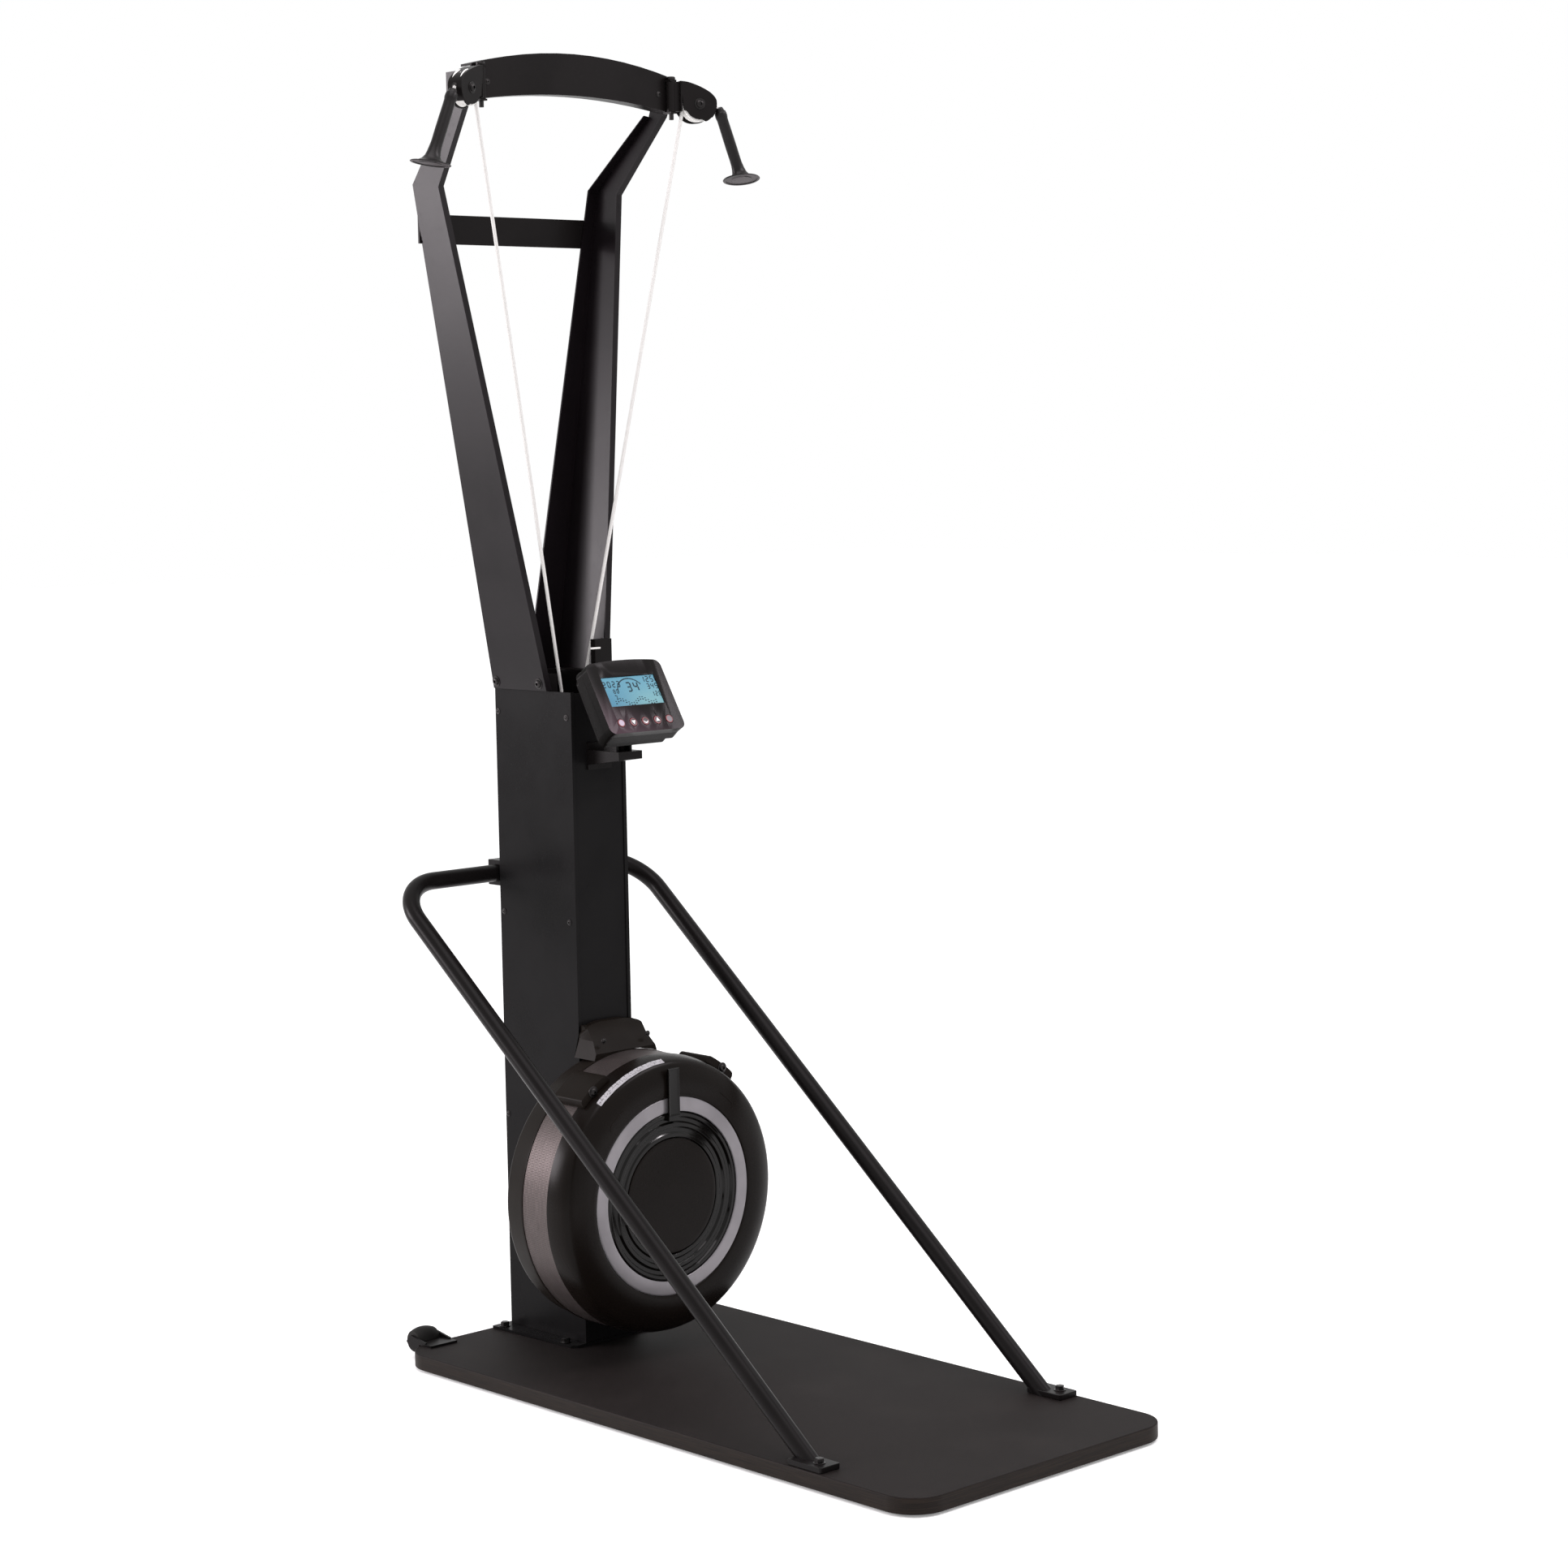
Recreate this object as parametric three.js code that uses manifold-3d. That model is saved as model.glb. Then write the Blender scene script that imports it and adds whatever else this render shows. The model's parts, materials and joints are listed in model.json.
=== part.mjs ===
// Standing ski trainer: a platform, a hollow column with an air flywheel, two flared
// arms with cord pulleys and handles, and a monitor. Millimetres, +Z up, +X the user's
// right, -Y the side the user stands on, origin on the floor under the platform's middle.
import * as THREE from 'three';
import { mergeVertices } from 'three/addons/utils/BufferGeometryUtils.js';
import Module from 'manifold-3d';

const wasm = await Module();
wasm.setup();

// Clearances and fineness
const seatGap = 0.3;
const runGap = 1.2;
const overrun = 4;
const largeRing = 48;
const smallRing = 20;
const tubeSides = 12;
const cordSides = 8;
const curveSteps = 5;

// Platform board and its rubber foot strips
const boardWidth = 582;
const boardLength = 1234;
const boardThickness = 26;
const boardCorner = 60;
const footHeight = 4;
const footWidth = 40;
const footInset = 50;
const boardTop = footHeight + boardThickness;
const boardRear = boardLength / 2;

// Column: steel channel, side covers with lips, front cover, base plate
const columnWidth = 118.8;
const columnDepth = 203;
const columnHeight = 1120;
const columnInset = 16;
const coverThickness = 3;
const coverLip = 7;
const channelWall = 3;
const channelDrop = 2;
const frontCoverRecess = 2;
const basePlateRearHalf = 93;
const basePlateFrontHalf = 86;
const basePlateCorner = 9;
const basePlateOverhang = 11;
const basePlateThickness = 5;
const columnRear = boardRear - columnInset;
const columnFront = columnRear - columnDepth;
const columnFoot = boardTop + basePlateThickness;
const columnTop = columnFoot + columnHeight;
const coverOuter = columnWidth / 2;
const channelOuter = coverOuter - coverThickness - seatGap;
const channelInner = channelOuter - channelWall;
const channelFront = columnFront + frontCoverRecess + coverThickness + seatGap;

// Arms: folded sheet with an outer web, a rear flange and a narrow front lip. Each edge
// has four corners: foot, kink, neck and head. Insets are from the column's rear face.
const armSheet = 3;
const armFlareShare = 0.15576;
const armSpread = 10.1;
const armLift = 1;
const armHeight = 1024;
const armRearInsets = [10, -6, 117, 127];
const armFrontInsets = [151.5, 62, 162, 177];
const armRearRiseShares = [0, 0.832, 0.9512, 1];
const armFrontRiseShares = [0, 0.8242, 0.9482, 1];
const armFlangeFoot = 68;
const armFlangeHead = 12.5;
const armLip = 12;
const armFootX = coverOuter + armSpread;
const armFoot = columnTop + armLift;
const armHeadTop = armFoot + armHeight;
const armEdge = (insets, shares) => insets.map(
  (inset, i) => [columnRear - inset, armFoot + armHeight * shares[i]]);
const armRearEdge = armEdge(armRearInsets, armRearRiseShares);
const armFrontEdge = armEdge(armFrontInsets, armFrontRiseShares);
const armFlare = Math.atan(armFlareShare);
const armHeightOnWeb = (z) => (z - armFoot) / Math.cos(armFlare);
const webX = (z) => armFootX + (z - armFoot) * armFlareShare;

// Where the straight lower stretch of an arm's edge is at a height
const edgeY = ([[footY, footZ], [kinkY, kinkZ]], z) => (
  footY + ((kinkY - footY) * (z - footZ)) / (kinkZ - footZ));

// Block in the column's mouth that the arms bolt to
const mountBlockSunk = 70;
const mountBlockProud = 29;
const mountBlockRearInset = 21;
const mountSlotHalf = 40;
const mountSlotWall = 24;
const mountBlockFoot = columnTop - mountBlockSunk;
const mountBlockTop = columnTop + mountBlockProud;
const mountBlockFront = edgeY(armFrontEdge, mountBlockTop) + armSheet + seatGap;
const mountBlockRear = columnRear - mountBlockRearInset;
const mountSlotRear = mountBlockRear - mountSlotWall;

// Lower crossbar behind the arms and the arched beam at their heads
const crossbarDrop = 96.968;
const crossbarHeight = 49;
const crossbarThickness = 4;
const crossbarFoot = armRearEdge[1][1] - crossbarDrop;
const crossbarReach = webX(crossbarFoot + crossbarHeight / 2);
const archSheet = 4;
const archDepth = 28;
const archCrownProud = 38.5;
const archEndProud = 11;
const archCrownFootDrop = 30;
const archEndFootDrop = 48;
const archSteps = 12;
const archFace = armFrontEdge[3][0] - archSheet;
const archCrown = armHeadTop + archCrownProud;
const archEndTop = armHeadTop + archEndProud;
const archCrownFoot = armHeadTop - archCrownFootDrop;
const archEndFoot = armHeadTop - archEndFootDrop;

// Swivelling pulley hoods on vertical hinge pins
const hingeInset = 17.358;
const hingeProud = 8.6;
const barrelRadius = 8;
const barrelLift = 1.5;
const barrelLength = 50.5;
const axleLift = 13.5;
const barrelFoot = archEndFoot + barrelLift;
const barrelTop = barrelFoot + barrelLength;
const axleZ = barrelFoot + axleLift;
const hingeX = webX(axleZ) - hingeInset;
const hingeY = archFace - hingeProud;
const hoodTurn = THREE.MathUtils.degToRad(19.5);
const hoodHalfGap = 10;
const hoodPlate = 3;
const hoodNeck = 7;
const hoodWall = 13;
const hoodLength = 65.5;
const hoodHeight = 37;
const hoodRimShares = [[0, 1], [0.412, 0.838], [0.641, 0.703], [0.901, 0.405], [1, 0.162], [1, -0.108],
  [0.962, -0.351], [0.809, -0.703], [0.595, -0.851], [0.382, -0.865], [0.183, -0.73], [0, -0.365]];
const pinRadius = 4;
const pinHeadRadius = 8;
const pinHeadHeight = 5;
const pinTail = 11;
const tabThickness = 3;
const tabHalfWidth = 7;
const tabReach = 7;
const axleRadius = 5;
const axleReach = 48;
const axleProud = 3;
const pulleyFlange = 30;
const pulleyHalfWidth = 8.5;
const pulleyRim = 2;
const cordDiameter = 6;
const cordRadius = cordDiameter / 2;
const cordTail = 38;
const pulleyPitch = 24.6;
const pulleyCore = pulleyPitch - cordRadius - seatGap;

// Handles hanging at the pulleys
const handleReach = 84.5;
const handleForward = 31.4;
const handleDrop = 13;
const handleSpreadX = 47.5;
const handleFall = 113;
const handleTop = [hingeX + handleReach, hingeY - handleForward, axleZ - handleDrop];
const handleFoot = [handleTop[0] + handleSpreadX, handleTop[1], handleTop[2] - handleFall];
const gripRadius = 9.5;
const gripHeadRadius = 10.5;
const gripHeadLength = 9;
const gripNeckRadius = 9;
const gripFlareLength = 30;
const gripBaseLong = 36;
const gripBaseWide = 25;
const gripBaseThickness = 5;
const gripSkew = THREE.MathUtils.degToRad(15.5);
const gripShares = {
  round: 0.7, headStep: 0.02, shank: 0.16, middle: 0.5, swell: 1.06, neck: 1.15, neckSkew: 0.2,
  throatAt: 0.45, throat: 1.5, throatWide: 1.25, throatSkew: 0.7, cupAt: 1.3, cup: 0.72, rimAt: 0.8,
  rim: 0.96,
};

// Cords from the drums to the pulleys, through the column's mouth
const cordHigh = [hingeX + 13.9, hingeY - 5.8, axleZ - 37];
const cordMouth = [24.4, columnRear - 136.7, columnTop];
const cordBendShare = 0.1;

// Support bars from behind the column to the platform's front
const barRadius = 15;
const barBend = 85;
const barSpread = 10;
const barFootInset = 30.7;
const barFootForward = 246.8;
const barStandoff = 10.5;
const barDrop = 325;
const barInnerX = 22;
const barSteps = 7;
const barFootX = boardWidth / 2 - barFootInset;
const barFootY = -boardRear + barFootForward;
const barCornerX = barFootX + barSpread;
const barY = columnRear + barStandoff + barRadius;
const barZ = columnTop - barDrop;
const barShares = { roundEnd: 2.4, neckBack: 3.4, neckRise: 2.2, neckShift: 0.15, neckThin: 0.92 };
const shoeLength = 74;
const shoeWidth = 42;
const shoeThickness = 9;
const shoeShiftX = 7;
const shoeShiftY = 10.8;
const clampHalf = 46;
const clampHeight = 44;
const clampWall = 8;

// Transport wheels behind the platform
const wheelRadius = 23;
const wheelInset = 68;
const wheelLift = 1;
const wheelWidth = 46;
const wheelPinRadius = 5;
const wheelEar = 4;
const wheelEarRadius = 12;
const wheelPlateDepth = 34;
const wheelX = boardWidth / 2 - wheelInset;
const wheelY = boardRear + wheelRadius + runGap;
const wheelZ = boardTop + wheelLift;

// Fan housing, its axis along Y through the column
const fanClearance = 40.7;
const fanRadius = 237;
const fanWall = 3;
const fanStandoff = 5;
const fanRearDepth = 51;
const fanRearInset = 6;
const fanBand = 64;
const fanBulge = 49.5;
const fanScreenWall = 2.4;
const fanScreenInset = 1;
const fanZ = boardTop + fanClearance + fanRadius;
const fanRearFace = columnFront - fanStandoff;
const fanRearRim = fanRadius - fanRearInset;
const fanRearEdge = fanRearFace - fanRearDepth;
const fanFrontEdge = fanRearEdge - fanBand;
const shoulderShares = [[0.981, 0.586], [0.961, 0.768], [0.895, 0.92], [0.823, 1], [0.7257, 0.98]];
const ringOuter = 168.5;
const ringInner = 144.5;
const ringRise = 48;
const ringThickness = 3;
const ringFace = fanFrontEdge - ringRise;
const dialOuter = 143.5;
const dialInner = 100;
const dialRecess = 1;
const dialThickness = 10;
const dialGroove = 4;
const dialSteps = 5;
const dialGap = 1;
const dialFace = ringFace + dialRecess;
const dialRear = dialFace + dialThickness;
const hubDiscRadius = 98.5;
const hubDiscRecess = 2;
const hubDiscEdge = 1;
const hubDiscFace = ringFace + hubDiscRecess;
const innerPlateThickness = 4;
const innerPlateFront = dialRear + dialGap;
const innerPlateRear = innerPlateFront + innerPlateThickness;
const leverHead = 220;
const leverFoot = 138;
const leverWidth = 24;
const leverThickness = 5;
const leverProud = 8;
const leverFace = ringFace - leverProud;
const scaleStart = THREE.MathUtils.degToRad(1.5);
const scaleEnd = THREE.MathUtils.degToRad(40);
const scaleThickness = 1.2;
const lugAngle = THREE.MathUtils.degToRad(35.5);
const lugSpread = THREE.MathUtils.degToRad(7);
const lugFootSpread = THREE.MathUtils.degToRad(8.5);
const lugRadius = 250;
const lugLap = 16;
const lugDepth = 74;
const lugFront = fanFrontEdge - lugLap;
const ventCount = 6;
const ventInner = 40;
const ventOuter = 92;
const ventRibShare = 0.14;

// Flywheel, axle, bearings and cord drums
const axleShaftRadius = 10;
const shaftFrontGap = 1;
const shaftRearInset = 11;
const shaftFront = innerPlateRear + shaftFrontGap;
const shaftRear = columnRear - shaftRearInset;
const flywheelClear = 21;
const flywheelSet = 18;
const wheelDiscRadius = fanRadius - flywheelClear;
const wheelDiscFront = fanFrontEdge + flywheelSet;
const wheelDiscThickness = 5;
const hubRadius = 30;
const hubAhead = 34;
const hubBehind = 44;
const hubFront = wheelDiscFront - hubAhead;
const hubRear = wheelDiscFront + hubBehind;
const vaneCount = 16;
const vaneInner = 120;
const vaneDepth = 32;
const vaneThickness = 2.5;
const vaneFront = wheelDiscFront - vaneDepth;
const bearingRadius = 24;
const bearingWidth = 12;
const bearingSeat = 6;
const drumPitch = 31;
const drumFlange = 38;
const drumWidth = 16;
const drumRim = 2.5;
const drumSet = 63;
const drumSpacing = 24;
const drumLeftY = columnFront + drumSet;
const drumRightY = drumLeftY + drumSpacing;
const returnCordRadius = 4;
const returnPegRadius = 14;
const returnPegDrop = 140;
const returnInset = 71;
const returnLegDrop = 304;
const returnPegZ = columnTop - returnPegDrop;
const returnLegX = returnPegRadius + returnCordRadius + seatGap;
const returnY = columnRear - returnInset;

// Shroud where the column meets the fan: its side profile goes forward and down in shares
const shroudRise = 47.3;
const shroudHalf = 60;
const shroudFlare = 76;
const shroudStraight = 27;
const shroudDrop = 76;
const shroudDepth = 52.7;
const shroudWall = 3;
const shroudTop = fanZ + fanRadius + shroudRise;
const shroudShares = [[0.241, 0.013], [0.488, 0.132], [0.715, 0.355], [1, 0.618]];

// Monitor on a tilting pivot
const monitorForward = 132;
const monitorDrop = 62;
const monitorRun = 67.6;
const monitorRise = 112;
const faceFoot = [columnFront - monitorForward, columnTop - monitorDrop];
const faceHead = [faceFoot[0] + monitorRun, faceFoot[1] + monitorRise];
const monitorWidth = 165;
const monitorDepth = 45;
const monitorCorner = 12;
const monitorTaper = 9;
const monitorSplit = 15;
const monitorWall = 3;
const monitorFace = 5;
const screenWidth = 117;
const screenHeight = 55;
const screenFoot = 50;
const screenRecess = 1.5;
const screenThickness = 3;
const buttonRadius = 7.5;
const buttonPitch = 26.5;
const buttonHeight = 19;
const buttonDepth = 8;
const buttonProud = 1.2;
const buttonHole = buttonRadius + 0.5 * runGap;
const pivotForward = 52;
const pivotDrop = 63;
const pivotY = columnFront - pivotForward;
const pivotZ = columnTop - pivotDrop;
const pivotRadius = 5;
const pivotLug = 14;
const pivotLugHalf = 12;
const pivotEar = 5;
const pivotTopShare = 0.86;
const armBlockHalf = 26;
const armBlockDrop = 99;
const armBlockHeight = 26;
const armBlockReach = 82;
const armBlockChamfer = 12;
const armPlateThickness = 4;
const armPlateAbove = 12;
const armPlateBelow = 8;
const armBlockTop = columnTop - armBlockDrop;
const armBlockFoot = armBlockTop - armBlockHeight;

// Guide block beside the right cord
const guideRise = 42;
const guideHeight = 42;
const guideInnerX = 30;
const guideWidth = 32;
const guideStandoff = 17;
const guideDepth = 12;
const guideLug = 10;
const guideLugLap = 4;
const guideFoot = columnTop + guideRise;

const part = new THREE.Group();

// Materials
function paint(color, roughness, metalness) {
  return new THREE.MeshStandardMaterial({ color, roughness, metalness });
}
const looks = {
  powder: paint(0x2b292b, 0.55, 0.2),
  board: paint(0x55524e, 0.75, 0),
  plastic: paint(0x262523, 0.4, 0),
  gloss: paint(0x1c1b1a, 0.22, 0),
  rubber: paint(0x1b1b1b, 0.9, 0),
  silver: paint(0xc8c4c8, 0.35, 0.6),
  screenMetal: paint(0xa7a09b, 0.45, 0.7),
  steel: paint(0x8d8d8f, 0.35, 1),
  nylon: paint(0xeceae6, 0.5, 0),
  cord: paint(0xf1efec, 0.8, 0),
  shockCord: paint(0x30302f, 0.85, 0),
  glass: paint(0x8fc6d6, 0.2, 0),
  button: paint(0xd9d5d6, 0.45, 0),
};

// Geometry helpers
function outward(geometry) {
  const position = geometry.getAttribute('position');
  const index = geometry.getIndex().array;
  const a = new THREE.Vector3();
  const b = new THREE.Vector3();
  const c = new THREE.Vector3();
  let volume = 0;
  for (let i = 0; i < index.length; i += 3) {
    a.fromBufferAttribute(position, index[i]);
    b.fromBufferAttribute(position, index[i + 1]);
    c.fromBufferAttribute(position, index[i + 2]);
    volume += a.dot(b.cross(c));
  }
  if (volume < 0) {
    for (let i = 0; i < index.length; i += 3) {
      const swap = index[i];
      index[i] = index[i + 1];
      index[i + 1] = swap;
    }
  }
  return geometry;
}

function weld(geometry) {
  const bare = geometry.clone();
  bare.deleteAttribute('normal');
  bare.deleteAttribute('uv');
  return outward(mergeVertices(bare, 1e-4));
}

function solid(geometry) {
  const welded = weld(geometry);
  const vertProperties = new Float32Array(welded.getAttribute('position').array);
  const triVerts = new Uint32Array(welded.getIndex().array);
  return new wasm.Manifold(new wasm.Mesh({ numProp: 3, vertProperties, triVerts }));
}

function geometryOf(body) {
  const mesh = body.getMesh();
  const geometry = new THREE.BufferGeometry();
  geometry.setAttribute('position', new THREE.Float32BufferAttribute(mesh.vertProperties, 3));
  geometry.setIndex(Array.from(mesh.triVerts));
  return geometry;
}

function joined(geometries) {
  return geometryOf(geometries.map(solid).reduce((whole, next) => whole.add(next)));
}

function cut(geometry, tools) {
  return geometryOf(tools.map(solid).reduce((whole, tool) => whole.subtract(tool), solid(geometry)));
}

function kept(geometry, tool) {
  return geometryOf(solid(geometry).intersect(solid(tool)));
}

function block(low, high) {
  const geometry = new THREE.BoxGeometry(high[0] - low[0], high[1] - low[1], high[2] - low[2]);
  return geometry.translate((high[0] + low[0]) / 2, (high[1] + low[1]) / 2, (high[2] + low[2]) / 2);
}

function outline(points) {
  return new THREE.Shape(points.map(([x, y]) => new THREE.Vector2(x, y)));
}

function slab(shape, depth) {
  return new THREE.ExtrudeGeometry(shape, { depth, bevelEnabled: false, curveSegments: curveSteps });
}

// Outline drawn in (y, z), thickness along x
function slabAlongX(shape, x, thickness) {
  const turn = new THREE.Matrix4().set(0, 0, 1, 0, 1, 0, 0, 0, 0, 1, 0, 0, 0, 0, 0, 1);
  return slab(shape, thickness).applyMatrix4(turn).translate(x, 0, 0);
}

// Outline drawn in (x, z), thickness along y
function slabAlongY(shape, y, thickness) {
  return slab(shape, thickness).rotateX(Math.PI / 2).translate(0, y + thickness, 0);
}

function roundedRectangle(width, height, corner) {
  const shape = new THREE.Shape();
  const w = width / 2;
  const h = height / 2;
  shape.moveTo(-w + corner, -h);
  shape.lineTo(w - corner, -h);
  shape.absarc(w - corner, -h + corner, corner, -Math.PI / 2, 0);
  shape.lineTo(w, h - corner);
  shape.absarc(w - corner, h - corner, corner, 0, Math.PI / 2);
  shape.lineTo(-w + corner, h);
  shape.absarc(-w + corner, h - corner, corner, Math.PI / 2, Math.PI);
  shape.lineTo(-w, -h + corner);
  shape.absarc(-w + corner, -h + corner, corner, Math.PI, 1.5 * Math.PI);
  return shape;
}

function closedLathe(profile, sides) {
  const points = [...profile, profile[0]].map(([r, y]) => new THREE.Vector2(r, y));
  return new THREE.LatheGeometry(points, sides);
}

// Rod or ring along Y between two places
function rodAlongY(radius, from, to, sides = smallRing) {
  const rod = new THREE.CylinderGeometry(radius, radius, to - from, sides);
  return rod.translate(0, (from + to) / 2, 0);
}

function rodAlongX(radius, from, to, sides = smallRing) {
  return rodAlongY(radius, from, to, sides).rotateZ(-Math.PI / 2);
}

function rodAlongZ(radius, from, to, sides = smallRing) {
  return rodAlongY(radius, from, to, sides).rotateX(Math.PI / 2);
}

// A route through chosen points, each reached at an even step of the parameter
class Route extends THREE.Curve {
  constructor(points) {
    super();
    this.points = points.map((p) => new THREE.Vector3(...p));
  }
  getPoint(t, target = new THREE.Vector3()) {
    const place = t * (this.points.length - 1);
    const start = Math.min(Math.floor(place), this.points.length - 2);
    return target.lerpVectors(this.points[start], this.points[start + 1], place - start);
  }
  getPointAt(t, target) {
    return this.getPoint(t, target);
  }
  getTangentAt(t, target = new THREE.Vector3()) {
    const last = this.points.length - 1;
    const near = Math.round(t * last);
    const before = this.points[Math.max(near - 1, 0)];
    const after = this.points[Math.min(near + 1, last)];
    const into = this.points[near].clone().sub(before).normalize();
    const outOf = after.clone().sub(this.points[near]).normalize();
    return target.copy(into).add(outOf).normalize();
  }
}

function tube(points, radius, sides) {
  const section = new THREE.Shape();
  for (let i = 0; i < sides; i += 1) {
    const angle = (2 * Math.PI * i) / sides;
    const place = [radius * Math.cos(angle), radius * Math.sin(angle)];
    if (i === 0) section.moveTo(...place);
    else section.lineTo(...place);
  }
  section.closePath();
  return new THREE.ExtrudeGeometry(section, { steps: points.length - 1, extrudePath: new Route(points) });
}

// Points of an arc about a centre, from one direction to another
function arcPoints(center, radius, u, v, from, to, steps) {
  const points = [];
  for (let i = 0; i <= steps; i += 1) {
    const angle = from + ((to - from) * i) / steps;
    const c = radius * Math.cos(angle);
    const s = radius * Math.sin(angle);
    points.push([0, 1, 2].map((k) => center[k] + c * u[k] + s * v[k]));
  }
  return points;
}

function place(name, geometry, material, parent = part) {
  const mesh = new THREE.Mesh(weld(geometry), material);
  mesh.name = name;
  parent.add(mesh);
  return mesh;
}

// Both sides: the right one is the left one mirrored
function onBothSides(make) {
  for (const [side, sign] of [['left', 1], ['right', -1]]) {
    const mirror = new THREE.Group();
    mirror.scale.x = sign;
    part.add(mirror);
    make(side, mirror);
  }
}

// Platform
place('platform_board', slab(roundedRectangle(boardWidth, boardLength, boardCorner), boardThickness)
  .translate(0, 0, footHeight), looks.board);
const footReach = boardWidth / 2 - boardCorner;
const footRows = { front: -boardRear + footInset, middle: 0, rear: boardRear - footInset };
for (const [row, y] of Object.entries(footRows)) {
  const strip = block([-footReach, y - footWidth / 2, 0],
    [footReach, y + footWidth / 2, footHeight - seatGap]);
  place(`foot_strip_${row}`, strip, looks.rubber);
}

// Column
const basePlate = outline([
  [-basePlateRearHalf, columnRear + basePlateOverhang], [-basePlateFrontHalf, columnFront + basePlateCorner],
  [-basePlateFrontHalf + basePlateCorner, columnFront], [basePlateFrontHalf - basePlateCorner, columnFront],
  [basePlateFrontHalf, columnFront + basePlateCorner], [basePlateRearHalf, columnRear + basePlateOverhang],
]);
place('column_base_plate', slab(basePlate, basePlateThickness - seatGap)
  .translate(0, 0, boardTop + seatGap), looks.powder);

function columnFrame() {
  const foot = columnFoot + seatGap;
  const top = columnTop - channelDrop;
  const shell = block([-channelOuter, channelFront, foot], [channelOuter, columnRear, top]);
  const inside = block(
    [-channelInner, channelFront - overrun, foot - overrun],
    [channelInner, columnRear - channelWall, top + overrun]);
  const innerFace = columnRear - channelWall;
  const sunk = innerFace + channelWall / 2;
  const bearingFront = innerFace - bearingWidth;
  const bearingBoss = rodAlongY(bearingRadius + bearingSeat, bearingFront, sunk).translate(0, 0, fanZ);
  const bearingBore = rodAlongY(bearingRadius + seatGap, bearingFront - overrun, innerFace - seatGap)
    .translate(0, 0, fanZ);
  const peg = rodAlongY(returnPegRadius, returnY - returnPegRadius, sunk).translate(0, 0, returnPegZ);
  return cut(joined([cut(shell, [inside]), bearingBoss, peg]), [bearingBore]);
}
place('column_frame', columnFrame(), looks.powder);

function sideCover() {
  const foot = columnFoot + seatGap;
  const shape = outline([
    [-coverOuter, columnFront], [-coverOuter + coverLip, columnFront],
    [-coverOuter + coverLip, columnFront + coverThickness],
    [-coverOuter + coverThickness, columnFront + coverThickness],
    [-coverOuter + coverThickness, columnRear], [-coverOuter, columnRear],
  ]);
  return slab(shape, columnTop - foot).translate(0, 0, foot);
}
onBothSides((side, group) => place(`side_cover_${side}`, sideCover(), looks.powder, group));

function frontColumnCover() {
  const reach = coverOuter - coverLip - seatGap;
  const face = columnFront + frontCoverRecess;
  const sheet = block([-reach, face, columnFoot + seatGap],
    [reach, face + coverThickness, columnTop - channelDrop]);
  const shaftHole = rodAlongY(axleShaftRadius + runGap, columnFront, channelFront + overrun);
  return cut(sheet, [shaftHole.translate(0, 0, fanZ)]);
}
place('column_front_cover', frontColumnCover(), looks.powder);

function mountBlock() {
  const inner = channelInner - seatGap;
  const shoulder = columnTop + seatGap;
  const reach = (z) => webX(z) - (armSheet + seatGap) / Math.cos(armFlare);
  const shape = outline([
    [-inner, mountBlockFoot], [inner, mountBlockFoot], [inner, shoulder],
    [reach(shoulder), shoulder], [reach(mountBlockTop), mountBlockTop],
    [-reach(mountBlockTop), mountBlockTop], [-reach(shoulder), shoulder], [-inner, shoulder],
  ]);
  const slot = block(
    [-mountSlotHalf, mountBlockFront - overrun, mountBlockFoot - overrun],
    [mountSlotHalf, mountSlotRear, mountBlockTop + overrun]);
  return cut(slabAlongY(shape, mountBlockFront, mountBlockRear - mountBlockFront), [slot]);
}
place('arm_mount_block', mountBlock(), looks.powder);

// Arms, drawn flat on their webs and then leaned out
function armSheetMetal() {
  const up = ([y, z]) => [y, armHeightOnWeb(z)];
  const rear = armRearEdge.map(up);
  const front = armFrontEdge.map(up);
  const head = armHeightOnWeb(armHeadTop);
  const shifted = (points, dy) => points.map(([y, z]) => [y + dy, z]);
  const strip = (edge, dy, width) => slabAlongX(
    outline([...edge.slice(0, 3), ...shifted(edge.slice(0, 3), dy).reverse()]), -width, width);
  const web = slabAlongX(outline([...rear, ...[...front].reverse()]), -armSheet, armSheet);
  const flangeLimit = slabAlongY(outline([
    [0, 0], [-armFlangeFoot, 0], [-armFlangeHead, head], [0, head],
  ]), archFace, columnRear + columnDepth - archFace);
  const flange = kept(strip(rear, -armSheet, armFlangeFoot), flangeLimit);
  const sheet = joined([web, flange, strip(front, armSheet, armLip)]);
  return sheet.rotateY(armFlare).translate(armFootX, 0, armFoot);
}
onBothSides((side, group) => {
  place(`arm_${side}`, armSheetMetal().scale(-1, 1, 1), looks.powder, group);
});

const crossbarFace = edgeY(armRearEdge, crossbarFoot + crossbarHeight) + seatGap;
place('lower_crossbar', block(
  [-crossbarReach, crossbarFace, crossbarFoot],
  [crossbarReach, crossbarFace + crossbarThickness, crossbarFoot + crossbarHeight]), looks.powder);

// Arched beam: a channel open to the rear, with a tab above and below each hinge
function archHeight(x, crown, end, reach) {
  return crown - (crown - end) * (x / reach) ** 2;
}

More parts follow.
